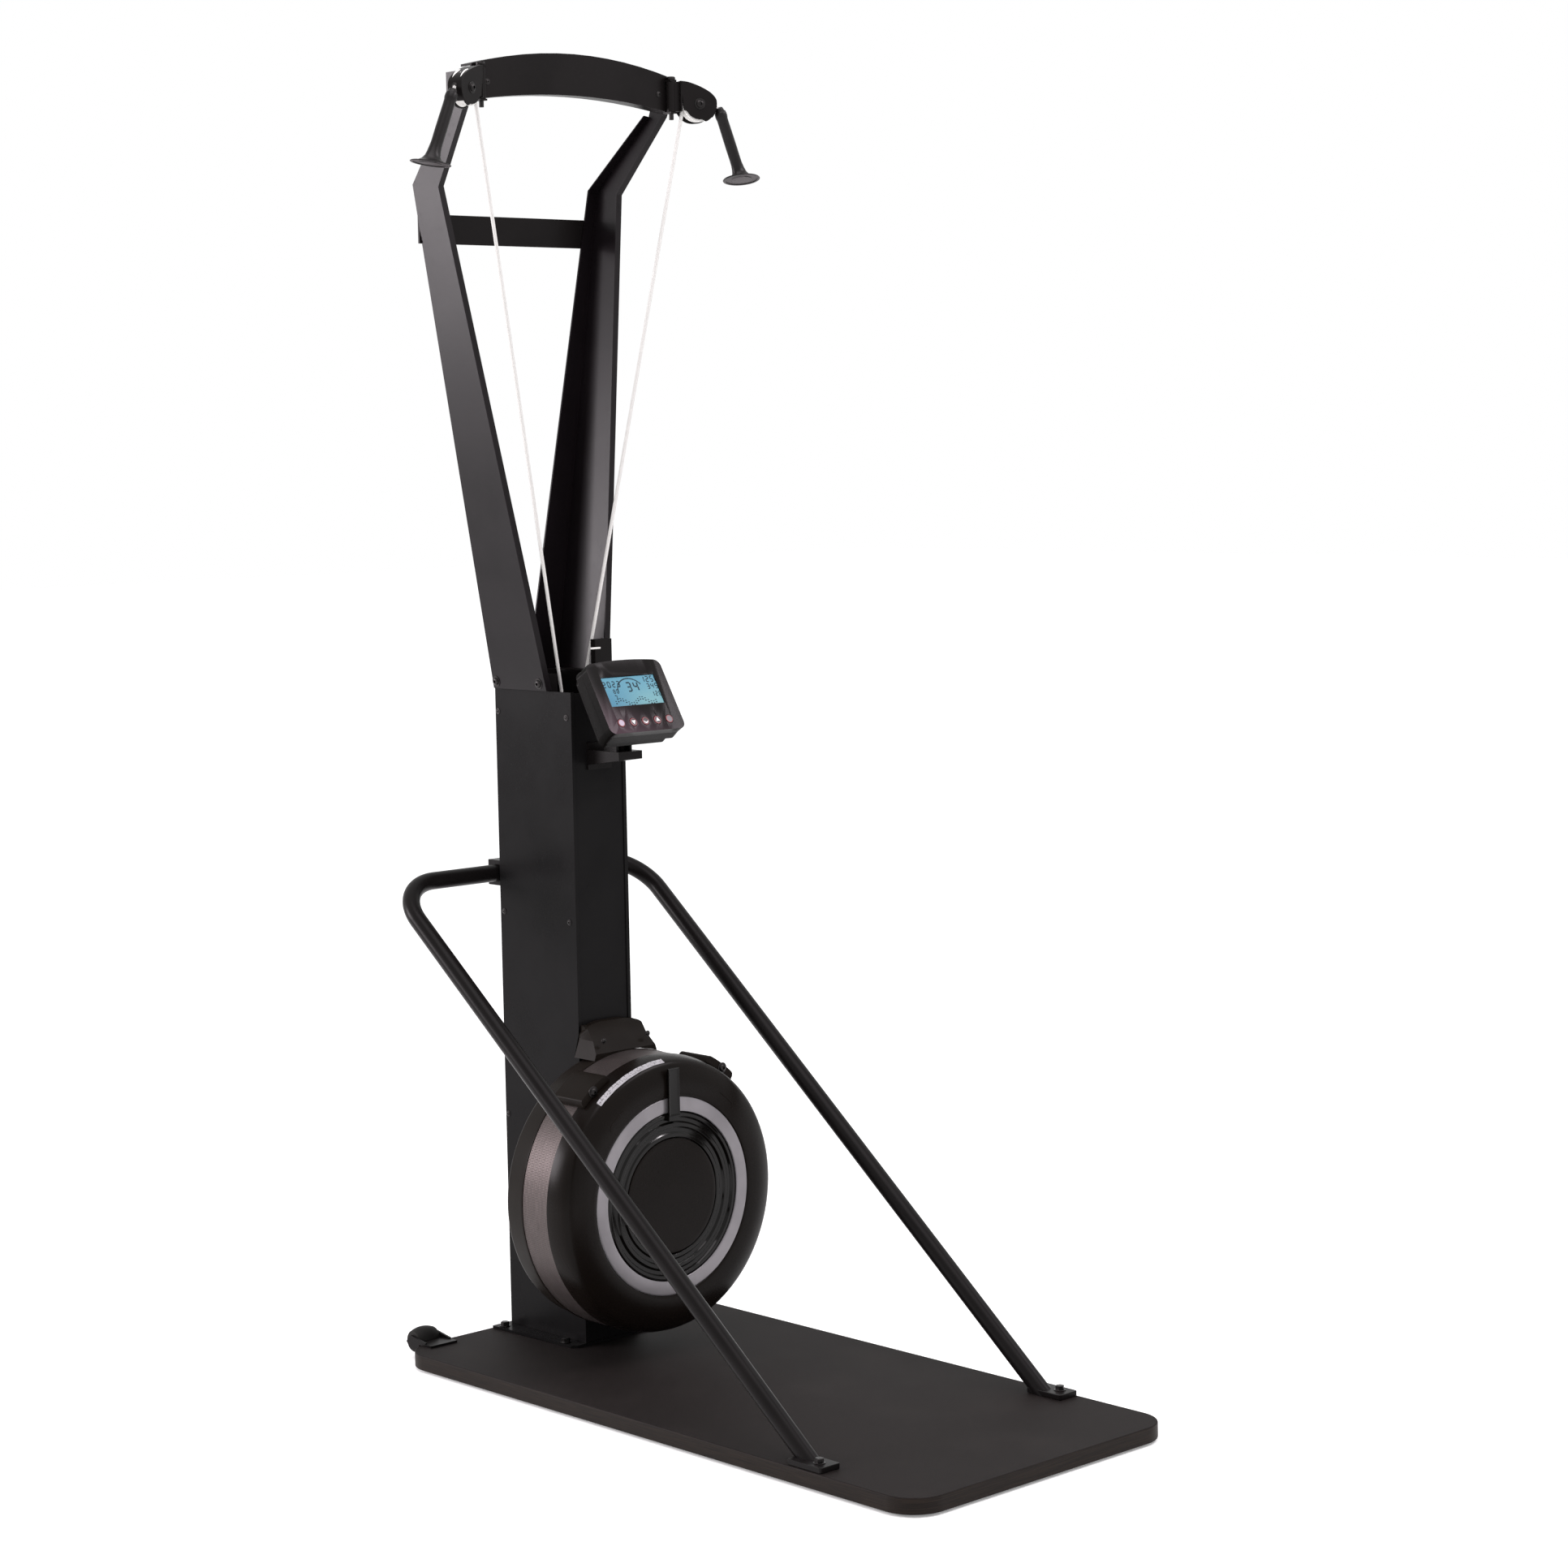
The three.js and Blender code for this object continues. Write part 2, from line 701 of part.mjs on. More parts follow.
function archBeam() {
  const reach = webX(archEndFoot) - (armSheet + seatGap) / Math.cos(armFlare);
  const band = (inset) => {
    const top = [];
    const foot = [];
    for (let i = 0; i <= archSteps; i += 1) {
      const x = -reach + (2 * reach * i) / archSteps;
      top.push([x, archHeight(x, archCrown, archEndTop, reach) - inset]);
      foot.push([x, archHeight(x, archCrownFoot, archEndFoot, reach) + inset]);
    }
    return outline([...foot, ...top.reverse()]);
  };
  const channel = cut(slabAlongY(band(0), archFace, archDepth),
    [slabAlongY(band(archSheet), archFace + archSheet, archDepth)]);
  const tabs = [];
  for (const x of [-hingeX, hingeX]) {
    for (const z of [barrelTop + seatGap, barrelFoot - seatGap - tabThickness]) {
      tabs.push(block([x - tabHalfWidth, hingeY - tabReach, z],
        [x + tabHalfWidth, archFace + archSheet / 2, z + tabThickness]));
    }
  }
  const ears = [-hingeX, hingeX].map((x) => block(
    [x - tabHalfWidth, archFace, barrelFoot - seatGap - tabThickness],
    [x + tabHalfWidth, archFace + archSheet, barrelFoot + 2 * barrelRadius]));
  const pinHoles = [-hingeX, hingeX].map((x) => rodAlongZ(pinRadius + seatGap,
    barrelFoot - 2 * tabThickness, barrelTop + 2 * tabThickness).translate(x, hingeY, 0));
  return cut(joined([channel, ...tabs, ...ears]), pinHoles);
}
place('top_arch_beam', archBeam(), looks.powder);

// Pulley hoods, in a frame with the hinge pin at its origin and +X along the hood:
// two plates with the pulley between them, joined by a wall beside the hinge barrel
const hoodRim = hoodRimShares.map(([out, up]) => [hoodWall + hoodLength * out, hoodHeight * up]);

function hood() {
  const half = hoodHalfGap + hoodPlate;
  const head = barrelTop - axleZ;
  const foot = barrelFoot - axleZ;
  const plates = [-half, hoodHalfGap].map((y) => slabAlongY(outline(hoodRim), y, hoodPlate));
  const wall = block([hoodWall, -half, foot], [hoodWall + hoodPlate, half, head - seatGap]);
  const neck = block([0, -hoodNeck, foot], [hoodWall + hoodPlate, hoodNeck, head]);
  const barrel = rodAlongZ(barrelRadius, foot, head);
  const axle = rodAlongY(axleRadius, -half - axleProud, half + axleProud).translate(axleReach, 0, 0);
  const bore = rodAlongZ(pinRadius + seatGap, foot - overrun, head + overrun);
  return cut(joined([...plates, wall, neck, barrel, axle]), [bore]);
}

function grooved(core, flange, half, rim, bore, sides) {
  return closedLathe([
    [bore, -half], [flange, -half], [flange, -half + rim], [core, -half + rim],
    [core, half - rim], [flange, half - rim], [flange, half], [bore, half],
  ], sides);
}

// Handle: a slim grip that flares into a flat oval foot, which stands askew to the grip
function handleGrip(length) {
  const sides = smallRing;
  const flare = gripFlareLength / length;
  const base = gripBaseThickness / length;
  const g = gripShares;
  const rings = [
    [0, gripHeadRadius * g.round, gripHeadRadius * g.round, 0],
    [g.headStep, gripHeadRadius, gripHeadRadius, 0],
    [gripHeadLength / length, gripHeadRadius, gripHeadRadius, 0],
    [g.shank, gripRadius, gripRadius, 0],
    [g.middle, gripRadius * g.swell, gripRadius, 0],
    [1 - flare, gripNeckRadius * g.neck, gripNeckRadius, g.neckSkew],
    [1 - g.throatAt * flare, gripNeckRadius * g.throat, gripNeckRadius * g.throatWide, g.throatSkew],
    [1 - g.cupAt * base, gripBaseLong * g.cup, gripBaseWide * g.cup, 1],
    [1 - g.rimAt * base, gripBaseLong, gripBaseWide, 1],
    [1, gripBaseLong * g.rim, gripBaseWide * g.rim, 1],
  ];
  const vertices = [];
  const triangles = [];
  for (const [share, long, wide, skewed] of rings) {
    for (let i = 0; i < sides; i += 1) {
      const angle = (2 * Math.PI * i) / sides;
      const out = long * Math.cos(angle);
      vertices.push(out, wide * Math.sin(angle), -share * length - out * skewed * Math.tan(gripSkew));
    }
  }
  for (let k = 0; k + 1 < rings.length; k += 1) {
    for (let i = 0; i < sides; i += 1) {
      const a = k * sides + i;
      const b = k * sides + ((i + 1) % sides);
      triangles.push(a, a + sides, b, b, a + sides, b + sides);
    }
  }
  const last = (rings.length - 1) * sides;
  for (let i = 1; i + 1 < sides; i += 1) {
    triangles.push(0, i, i + 1, last, last + i + 1, last + i);
  }
  const geometry = new THREE.BufferGeometry();
  geometry.setAttribute('position', new THREE.Float32BufferAttribute(vertices, 3));
  geometry.setIndex(triangles);
  return geometry;
}

const handleLean = Math.atan2(handleFoot[0] - handleTop[0], handleTop[2] - handleFoot[2]);
const handleLength = Math.hypot(handleFoot[0] - handleTop[0], handleTop[2] - handleFoot[2]);
const pullDirection = [Math.sin(handleLean), 0, -Math.cos(handleLean)];

// The hood's length direction in the part's frame, on the +X side
const hoodDirection = [Math.cos(hoodTurn), -Math.sin(hoodTurn), 0];
const pulleyCenter = [hingeX + axleReach * hoodDirection[0], hingeY + axleReach * hoodDirection[1], axleZ];

// The cord's lean inside the hood's plane where it comes up to the pulley
const cordLean = Math.atan2(Math.hypot(cordHigh[0] - cordMouth[0], cordHigh[1] - cordMouth[1]),
  cordHigh[2] - cordMouth[2]);
const wrapFrom = Math.PI - cordLean;

// Where the cord leaves the pulley toward the handle, as an angle about the axle
const handleOut = (handleTop[0] - pulleyCenter[0]) / hoodDirection[0];
const handleUp = handleTop[2] - axleZ;
const wrapTo = Math.atan2(handleUp, handleOut) + Math.acos(pulleyPitch / Math.hypot(handleOut, handleUp));

function upperCord() {
  const up = [0, 0, 1];
  const wrap = arcPoints(pulleyCenter, pulleyPitch, hoodDirection, up, wrapFrom, wrapTo, 2 * curveSteps);
  const start = wrap[0];
  const along = [0, 1, 2].map((k) => cordMouth[k] - cordHigh[k]);
  const size = Math.hypot(...along);
  const below = [0, 1, 2].map((k) => start[k] + (along[k] / size) * cordTail);
  const top = [0, 1, 2].map((k) => handleTop[k] - pullDirection[k] * (seatGap + cordRadius / 2));
  return { points: [below, ...wrap, top], below };
}

onBothSides((side, group) => {
  const mirrored = new THREE.Group();
  mirrored.scale.x = -1;
  group.add(mirrored);
  const hinge = new THREE.Group();
  hinge.position.set(hingeX, hingeY, axleZ);
  hinge.rotation.z = -hoodTurn;
  mirrored.add(hinge);
  place(`pulley_hood_${side}`, hood(), looks.powder, hinge);
  const pinTop = barrelTop + tabThickness + 2 * seatGap - axleZ;
  const pin = joined([
    rodAlongZ(pinRadius, barrelFoot - pinTail - axleZ - tabThickness, pinTop + seatGap),
    rodAlongZ(pinHeadRadius, pinTop + seatGap / 2, pinTop + pinHeadHeight),
  ]);
  place(`hinge_pin_${side}`, pin, looks.steel, hinge);
  const wheel = grooved(pulleyCore, pulleyFlange, pulleyHalfWidth, pulleyRim, axleRadius + seatGap,
    smallRing + cordSides);
  place(`cord_pulley_${side}`, wheel.translate(axleReach, 0, 0), looks.nylon, hinge);
  const grip = handleGrip(handleLength).rotateY(-handleLean).translate(...handleTop);
  place(`handle_${side}`, grip, looks.plastic, mirrored);
  place(`cord_${side}_upper`, tube(upperCord().points, cordRadius, cordSides), looks.cord, mirrored);
});

// Lower cords: both reach their drums on the +X side, so both turn the shaft one way
const cordStart = upperCord().below;
const cordLine = [0, 1, 2].map((k) => cordMouth[k] - cordHigh[k]);
const cordLineSize = Math.hypot(...cordLine);
for (const [side, sign, y] of [['left', -1, drumLeftY], ['right', 1, drumRightY]]) {
  const top = cordStart.map((v, k) => v + (cordLine[k] / cordLineSize) * seatGap);
  const mouth = [sign * cordMouth[0], cordMouth[1], cordMouth[2]];
  const drumSide = [drumPitch, y, fanZ];
  const bend = mouth.map((v, k) => v + (drumSide[k] - v) * cordBendShare);
  const route = [[sign * top[0], top[1], top[2]], mouth, bend, drumSide];
  place(`cord_${side}_lower`, tube(route, cordRadius, cordSides), looks.cord);
}

// Support bars: a bent tube each, pressed flat into a shoe at the platform
const barSlant = new THREE.Vector3(barFootX - barCornerX, barFootY - barY, boardTop - barZ).normalize();

function barRoute() {
  const corner = new THREE.Vector3(barCornerX, barY, barZ);
  const across = new THREE.Vector3(1, 0, 0);
  const turn = across.angleTo(barSlant);
  const setback = barBend * Math.tan(turn / 2);
  const center = corner.clone().addScaledVector(across, -setback);
  const side = barSlant.clone().addScaledVector(across, -across.dot(barSlant)).normalize();
  center.addScaledVector(side, barBend);
  const back = side.clone().negate().toArray();
  const bend = arcPoints(center.toArray(), barBend, back, [1, 0, 0], 0, turn, barSteps);
  const end = new THREE.Vector3(barFootX, barFootY, boardTop)
    .addScaledVector(barSlant, -barShares.roundEnd * barRadius);
  return [[barInnerX, barY, barZ], ...bend, end.toArray()];
}

function supportBar() {
  const foot = boardTop + seatGap;
  const rod = tube(barRoute(), barRadius, tubeSides);
  const shoe = slab(roundedRectangle(shoeWidth, shoeLength, shoeWidth / 3), shoeThickness)
    .translate(barFootX + shoeShiftX, barFootY - shoeShiftY, foot);
  const neck = tube([
    [barFootX, barFootY + barShares.neckBack * barRadius, foot + barShares.neckRise * barRadius],
    [barFootX + shoeShiftX * barShares.neckShift, barFootY + barRadius, foot + barRadius],
    [barFootX + shoeShiftX / 2, barFootY - barRadius, foot + shoeThickness],
  ], barRadius * barShares.neckThin, tubeSides);
  const floor = block([barFootX - shoeLength, barFootY - 2 * shoeLength, 0],
    [barFootX + shoeLength, barFootY + 2 * shoeLength, foot]);
  return cut(joined([rod, neck, shoe]), [floor]);
}
onBothSides((side, group) => place(`support_bar_${side}`, supportBar().scale(-1, 1, 1), looks.powder, group));

// Clamp that holds both bars behind the column
function barClamp() {
  const rear = barY + barRadius + clampWall;
  const body = block([-clampHalf, columnRear + seatGap, barZ - clampHeight / 2],
    [clampHalf, rear, barZ + clampHeight / 2]);
  const bores = [-1, 1].map((sign) => rodAlongX(barRadius + seatGap,
    Math.min(sign * (barInnerX - seatGap), sign * (clampHalf + overrun)),
    Math.max(sign * (barInnerX - seatGap), sign * (clampHalf + overrun))).translate(0, barY, barZ));
  return cut(body, bores);
}
place('bar_clamp', barClamp(), looks.powder);

// Transport wheels
function wheelBracket() {
  const half = wheelWidth / 2 + runGap;
  const plateTop = boardTop + wheelEar;
  const plate = block([wheelX - half - wheelEar, boardRear - wheelPlateDepth, boardTop + seatGap],
    [wheelX + half + wheelEar, boardRear + seatGap, plateTop]);
  const ears = [-1, 1].map((sign) => {
    const inner = wheelX + sign * half;
    const outer = inner + sign * wheelEar;
    const shape = outline([
      [boardRear - wheelPlateDepth / 2, boardTop + seatGap], [boardRear + seatGap, boardTop + seatGap],
      [boardRear + seatGap, wheelZ - wheelEarRadius], [wheelY, wheelZ - wheelEarRadius],
      [wheelY + wheelEarRadius, wheelZ], [wheelY, wheelZ + wheelEarRadius],
      [boardRear - wheelPlateDepth / 2, plateTop + wheelEar / 2],
    ]);
    return slabAlongX(shape, Math.min(inner, outer), wheelEar);
  });
  const pin = rodAlongX(wheelPinRadius, wheelX - half - wheelEar / 2, wheelX + half + wheelEar / 2)
    .translate(0, wheelY, wheelZ);
  const relief = rodAlongX(wheelRadius + runGap, wheelX - half, wheelX + half).translate(0, wheelY, wheelZ);
  return joined([cut(joined([plate, ...ears]), [relief]), pin]);
}

function transportWheel() {
  const half = wheelWidth / 2;
  const edge = wheelRadius / 6;
  const profile = [
    [wheelPinRadius + seatGap, -half], [wheelRadius - edge, -half], [wheelRadius, -half + edge],
    [wheelRadius, half - edge], [wheelRadius - edge, half], [wheelPinRadius + seatGap, half],
  ];
  return closedLathe(profile, smallRing).rotateZ(Math.PI / 2).translate(wheelX, wheelY, wheelZ);
}
onBothSides((side, group) => {
  place(`wheel_bracket_${side}`, wheelBracket().scale(-1, 1, 1), looks.powder, group);
  place(`transport_wheel_${side}`, transportWheel().scale(-1, 1, 1), looks.rubber, group);
});

// Fan housing
const fan = new THREE.Group();
fan.position.z = fanZ;
part.add(fan);

const rearHole = axleShaftRadius + 3 * runGap;
place('fan_rear_cover', closedLathe([
  [rearHole, fanRearFace], [fanRearRim - 2 * fanWall, fanRearFace], [fanRearRim, fanRearFace - 2 * fanWall],
  [fanRadius, fanRearEdge + 2 * fanWall], [fanRadius, fanRearEdge],
  [fanRadius - fanWall, fanRearEdge], [fanRadius - fanWall, fanRearEdge + 2 * fanWall],
  [fanRearRim - fanWall, fanRearFace - 2.5 * fanWall], [fanRearRim - 3 * fanWall, fanRearFace - fanWall],
  [rearHole, fanRearFace - fanWall],
], largeRing), looks.plastic, fan);

const screenOuter = fanRadius - fanScreenInset;
place('fan_screen', closedLathe([
  [screenOuter, fanFrontEdge + seatGap], [screenOuter, fanRearEdge - seatGap],
  [screenOuter - fanScreenWall, fanRearEdge - seatGap], [screenOuter - fanScreenWall, fanFrontEdge + seatGap],
], largeRing), looks.screenMetal, fan);

// Front cover: side, chamfer, bulged face, ring seat and vented inner plate
const shoulder = shoulderShares.map(([out, rise]) => [fanRadius * out, fanFrontEdge - fanBulge * rise]);

function frontCover() {
  const [edge, chamfer, brow, crown, sill] = shoulder;
  const seatY = ringFace + ringThickness + seatGap;
  const boreRadius = axleShaftRadius + runGap;
  const bossRadius = bearingRadius + bearingSeat;
  const bossRear = innerPlateRear + bearingWidth;
  const shell = closedLathe([
    [fanRadius, fanFrontEdge], ...shoulder, [ringOuter + seatGap, sill[1] + seatGap],
    [ringOuter + seatGap, seatY], [ringInner - seatGap, seatY],
    [ringInner - seatGap, innerPlateFront], [boreRadius, innerPlateFront],
    [boreRadius, innerPlateRear], [bearingRadius + seatGap, innerPlateRear],
    [bearingRadius + seatGap, bossRear], [bossRadius, bossRear],
    [bossRadius, innerPlateRear], [ringInner + fanWall, innerPlateRear],
    [ringInner + fanWall, seatY + fanWall], [sill[0], seatY + fanWall],
    [crown[0], crown[1] + fanWall], [brow[0] - fanWall, brow[1] + fanWall],
    [chamfer[0] - fanWall, chamfer[1] + fanWall], [edge[0] - fanWall, edge[1] + fanWall],
    [fanRadius - fanWall, fanFrontEdge],
  ], largeRing);
  const vents = [];
  const share = (2 * Math.PI) / ventCount;
  for (let i = 0; i < ventCount; i += 1) {
    const from = (i + ventRibShare) * share;
    const to = (i + 1 - ventRibShare) * share;
    const vent = new THREE.Shape();
    vent.absarc(0, 0, ventOuter, from, to, false);
    vent.absarc(0, 0, ventInner, to, from, true);
    vents.push(slabAlongY(vent, innerPlateFront - overrun, innerPlateRear - innerPlateFront + 2 * overrun));
  }
  const screenRoom = rodAlongY(fanRadius + 2 * seatGap, fanFrontEdge, fanRearFace, largeRing);
  const lugs = [-lugAngle, lugAngle].map((angle) => {
    const lug = new THREE.Shape();
    const middle = Math.PI / 2 + angle;
    lug.absarc(0, 0, lugRadius, middle - lugSpread, middle + lugSpread, false);
    lug.absarc(0, 0, fanRadius - fanWall / 2, middle + lugFootSpread, middle - lugFootSpread, true);
    return cut(slabAlongY(lug, lugFront, lugDepth), [screenRoom]);
  });
  return joined([cut(shell, vents), ...lugs]);
}
place('fan_front_cover', frontCover(), looks.plastic, fan);

place('fan_ring', closedLathe([
  [ringInner, ringFace], [ringOuter, ringFace], [ringOuter, ringFace + ringThickness],
  [ringInner, ringFace + ringThickness],
], largeRing), looks.silver, fan);

place('hub_disc', new THREE.LatheGeometry([
  [0, hubDiscFace], [hubDiscRadius - hubDiscEdge, hubDiscFace], [hubDiscRadius, hubDiscFace + hubDiscEdge],
  [hubDiscRadius, innerPlateFront - seatGap], [0, innerPlateFront - seatGap],
].map(([r, y]) => new THREE.Vector2(r, y)), largeRing), looks.plastic, fan);

// Damper dial with stepped rings and its lever across the silver ring
function damperDial() {
  const step = (dialOuter - dialInner) / dialSteps;
  const low = dialFace + dialGroove;
  const middle = dialFace + dialGroove / 4;
  const inner = dialFace + dialGroove / 2;
  const ring = closedLathe([
    [dialInner, dialRear], [dialInner, inner], [dialInner + step, inner],
    [dialInner + step, low], [dialInner + 2 * step, low], [dialInner + 2 * step, middle],
    [dialInner + 3 * step, middle], [dialInner + 3 * step, low], [dialInner + 4 * step, low],
    [dialInner + 4 * step, dialFace], [dialOuter, dialFace], [dialOuter, dialRear],
  ], largeRing);
  const half = leverWidth / 2;
  const rail = block([-half, leverFace, leverFoot], [half, leverFace + leverThickness, leverHead]);
  const groove = block([-half / 4, leverFace - overrun, leverFoot + leverThickness],
    [half / 4, leverFace + leverThickness / 3, leverHead - leverThickness]);
  const neck = block([-half, leverFace + leverThickness / 2, leverFoot], [half, low, dialOuter]);
  return joined([ring, cut(rail, [groove]), kept(neck, rodAlongY(dialOuter, 0, dialRear, largeRing))]);
}
place('damper_dial', damperDial(), looks.gloss, fan);

// Curved scale strip lying on the chamfer, left of the lever
function damperScale() {
  const [edge, chamfer] = shoulder;
  const size = Math.hypot(edge[0] - chamfer[0], edge[1] - chamfer[1]);
  const normal = [(edge[1] - chamfer[1]) / size, (chamfer[0] - edge[0]) / size];
  const lifted = ([r, y], lift) => [r + normal[0] * lift, y + normal[1] * lift];
  const lift = seatGap + scaleThickness;
  const ring = closedLathe([lifted(chamfer, seatGap), lifted(edge, seatGap), lifted(edge, lift),
    lifted(chamfer, lift)], largeRing);
  const reach = 2 * fanRadius;
  const wedge = outline([[0, 0],
    [-reach * Math.sin(scaleStart), reach * Math.cos(scaleStart)],
    [-reach * Math.sin(scaleEnd), reach * Math.cos(scaleEnd)]]);
  return kept(ring, slabAlongY(wedge, 0, fanRearFace));
}
place('damper_scale', damperScale(), looks.silver, fan);

// Flywheel with its vanes
function flywheel() {
  const bore = axleShaftRadius + seatGap;
  const disc = closedLathe([
    [bore, hubFront], [hubRadius, hubFront], [hubRadius, wheelDiscFront], [wheelDiscRadius, wheelDiscFront],
    [wheelDiscRadius, wheelDiscFront + wheelDiscThickness], [hubRadius, wheelDiscFront + wheelDiscThickness],
    [hubRadius, hubRear], [bore, hubRear],
  ], largeRing);
  const vanes = [];
  for (let i = 0; i < vaneCount; i += 1) {
    const vane = block([-vaneThickness / 2, vaneFront, vaneInner],
      [vaneThickness / 2, wheelDiscFront + wheelDiscThickness / 2, wheelDiscRadius - vaneThickness]);
    vanes.push(vane.rotateY((2 * Math.PI * i) / vaneCount));
  }
  return joined([disc, ...vanes]);
}
place('flywheel', flywheel(), looks.steel, fan);
place('flywheel_axle', rodAlongY(axleShaftRadius, shaftFront, shaftRear), looks.steel, fan);

function bearing(front) {
  const rear = front + bearingWidth - 2 * seatGap;
  const bore = axleShaftRadius + seatGap;
  return closedLathe([[bore, front], [bearingRadius, front], [bearingRadius, rear], [bore, rear]], smallRing);
}
place('bearing_front', bearing(innerPlateRear + seatGap), looks.steel, fan);
place('bearing_rear', bearing(columnRear - channelWall - bearingWidth), looks.steel, fan);

for (const [side, y] of [['left', drumLeftY], ['right', drumRightY]]) {
  const core = drumPitch - cordRadius - seatGap;
  const drum = grooved(core, drumFlange, drumWidth / 2, drumRim, axleShaftRadius + seatGap, smallRing);
  place(`cord_drum_${side}`, drum.translate(0, y, 0), looks.nylon, fan);
}

// Elastic return cord: over the peg, one leg to each drum
function returnCord() {
  const peg = [0, returnY, returnPegZ];
  const turnPoints = arcPoints(peg, returnLegX, [1, 0, 0], [0, 0, 1], Math.PI, 0, cordSides);
  const drumSide = -(drumPitch + returnCordRadius - cordRadius);
  const kneeZ = fanZ + 2 * drumFlange;
  return [[drumSide, drumLeftY, fanZ], [drumSide, drumLeftY, kneeZ], ...turnPoints,
    [returnLegX, returnY, kneeZ + returnLegDrop], [drumSide, drumRightY, kneeZ], [drumSide, drumRightY, fanZ]];
}
place('return_cord', tube(returnCord(), returnCordRadius, cordSides), looks.shockCord);

// Shroud that slopes from the column down onto the fan and widens to its foot
function columnShroud() {
  const rear = columnFront - seatGap;
  const foot = fanZ + fanRadius / 2;
  const shape = (inset, behind) => {
    const side = [[rear + behind, shroudTop - inset]];
    for (const [out, down] of shroudShares) {
      side.push([rear + inset - shroudDepth * out, shroudTop - inset - shroudDrop * down]);
    }
    side.push([rear - shroudDepth + inset, foot], [rear + behind, foot]);
    const front = outline([
      [-shroudHalf + inset, shroudTop], [shroudHalf - inset, shroudTop],
      [shroudHalf - inset, shroudTop - shroudStraight], [shroudFlare - inset, shroudTop - shroudDrop],
      [shroudFlare - inset, foot], [-shroudFlare + inset, foot],
      [-shroudFlare + inset, shroudTop - shroudDrop], [-shroudHalf + inset, shroudTop - shroudStraight],
    ]);
    return kept(slabAlongX(outline(side), -shroudFlare, 2 * shroudFlare),
      slabAlongY(front, rear - 2 * shroudDepth, 3 * shroudDepth));
  };
  const drum = rodAlongY(fanRadius + 2 * seatGap, 0, columnFront + overrun, largeRing).translate(0, 0, fanZ);
  return cut(shape(0, 0), [shape(shroudWall * Math.SQRT2, overrun), drum]);
}
place('column_shroud', columnShroud(), looks.plastic);

// Monitor, drawn in its own frame: X across, Y back from the face, Z up the face
const faceLean = Math.atan2(faceHead[0] - faceFoot[0], faceHead[1] - faceFoot[1]);
const faceHeight = Math.hypot(faceHead[0] - faceFoot[0], faceHead[1] - faceFoot[1]);
const monitor = new THREE.Group();
monitor.position.set(0, faceFoot[0], faceFoot[1]);
monitor.rotation.x = -faceLean;
part.add(monitor);

function toMonitor(y, z) {
  const dy = y - faceFoot[0];
  const dz = z - faceFoot[1];
  const c = Math.cos(faceLean);
  const s = Math.sin(faceLean);
  return [dy * c - dz * s, dy * s + dz * c];
}

function facePlate(width, height, corner, y, thickness) {
  return slabAlongY(roundedRectangle(width, height, corner), y, thickness).translate(0, 0, faceHeight / 2);
}

function buttonPlaces() {
  return [-2, -1, 0, 1, 2].map((i) => i * buttonPitch);
}

function monitorFront() {
  const rim = 2 * monitorWall;
  const shell = facePlate(monitorWidth, faceHeight, monitorCorner, 0, monitorSplit);
  const room = facePlate(monitorWidth - rim, faceHeight - rim, monitorCorner - monitorWall,
    monitorFace, monitorSplit);
  const window = block([-screenWidth / 2, -overrun, screenFoot],
    [screenWidth / 2, monitorFace + overrun, screenFoot + screenHeight]);
  const holes = buttonPlaces().map((x) => rodAlongY(buttonHole, -overrun, monitorFace + overrun)
    .translate(x, 0, buttonHeight));
  return cut(shell, [room, window, ...holes]);
}
place('monitor_front', monitorFront(), looks.plastic, monitor);

function monitorRear() {
  const start = monitorSplit + seatGap;
  const depth = monitorDepth - start;
  const rim = 2 * monitorWall;
  const width = monitorWidth - 2 * monitorTaper;
  const height = faceHeight - monitorTaper;
  const wide = facePlate(monitorWidth, faceHeight, monitorCorner, start, depth / 2);
  const narrow = facePlate(width, height, monitorCorner, start + depth / 2 - seatGap, depth / 2 + seatGap);
  const room = facePlate(width - rim, height - rim, monitorCorner - monitorWall, start - overrun,
    depth + overrun - monitorWall);
  const [lugY, lugZ] = toMonitor(pivotY, pivotZ);
  const lugArm = block([-pivotLugHalf, monitorDepth - monitorWall / 2, lugZ - pivotLug],
    [pivotLugHalf, lugY, lugZ + pivotLug]);
  const lugEye = rodAlongX(pivotLug, -pivotLugHalf, pivotLugHalf).translate(0, lugY, lugZ);
  const lugBore = rodAlongX(pivotRadius + seatGap, -pivotLugHalf - overrun, pivotLugHalf + overrun)
    .translate(0, lugY, lugZ);
  return cut(joined([wide, narrow, lugArm, lugEye]), [room, lugBore]);
}
place('monitor_rear', monitorRear(), looks.plastic, monitor);

const screenSeat = screenRecess + seatGap;
place('monitor_screen', block(
  [-screenWidth / 2 + seatGap, screenRecess, screenFoot + seatGap],
  [screenWidth / 2 - seatGap, screenSeat + screenThickness, screenFoot + screenHeight - seatGap]),
looks.glass, monitor);

buttonPlaces().forEach((x, i) => {
  const cap = rodAlongY(buttonRadius, -buttonProud, buttonDepth).translate(x, 0, buttonHeight);
  place(`button_${i + 1}`, cap, looks.button, monitor);
});

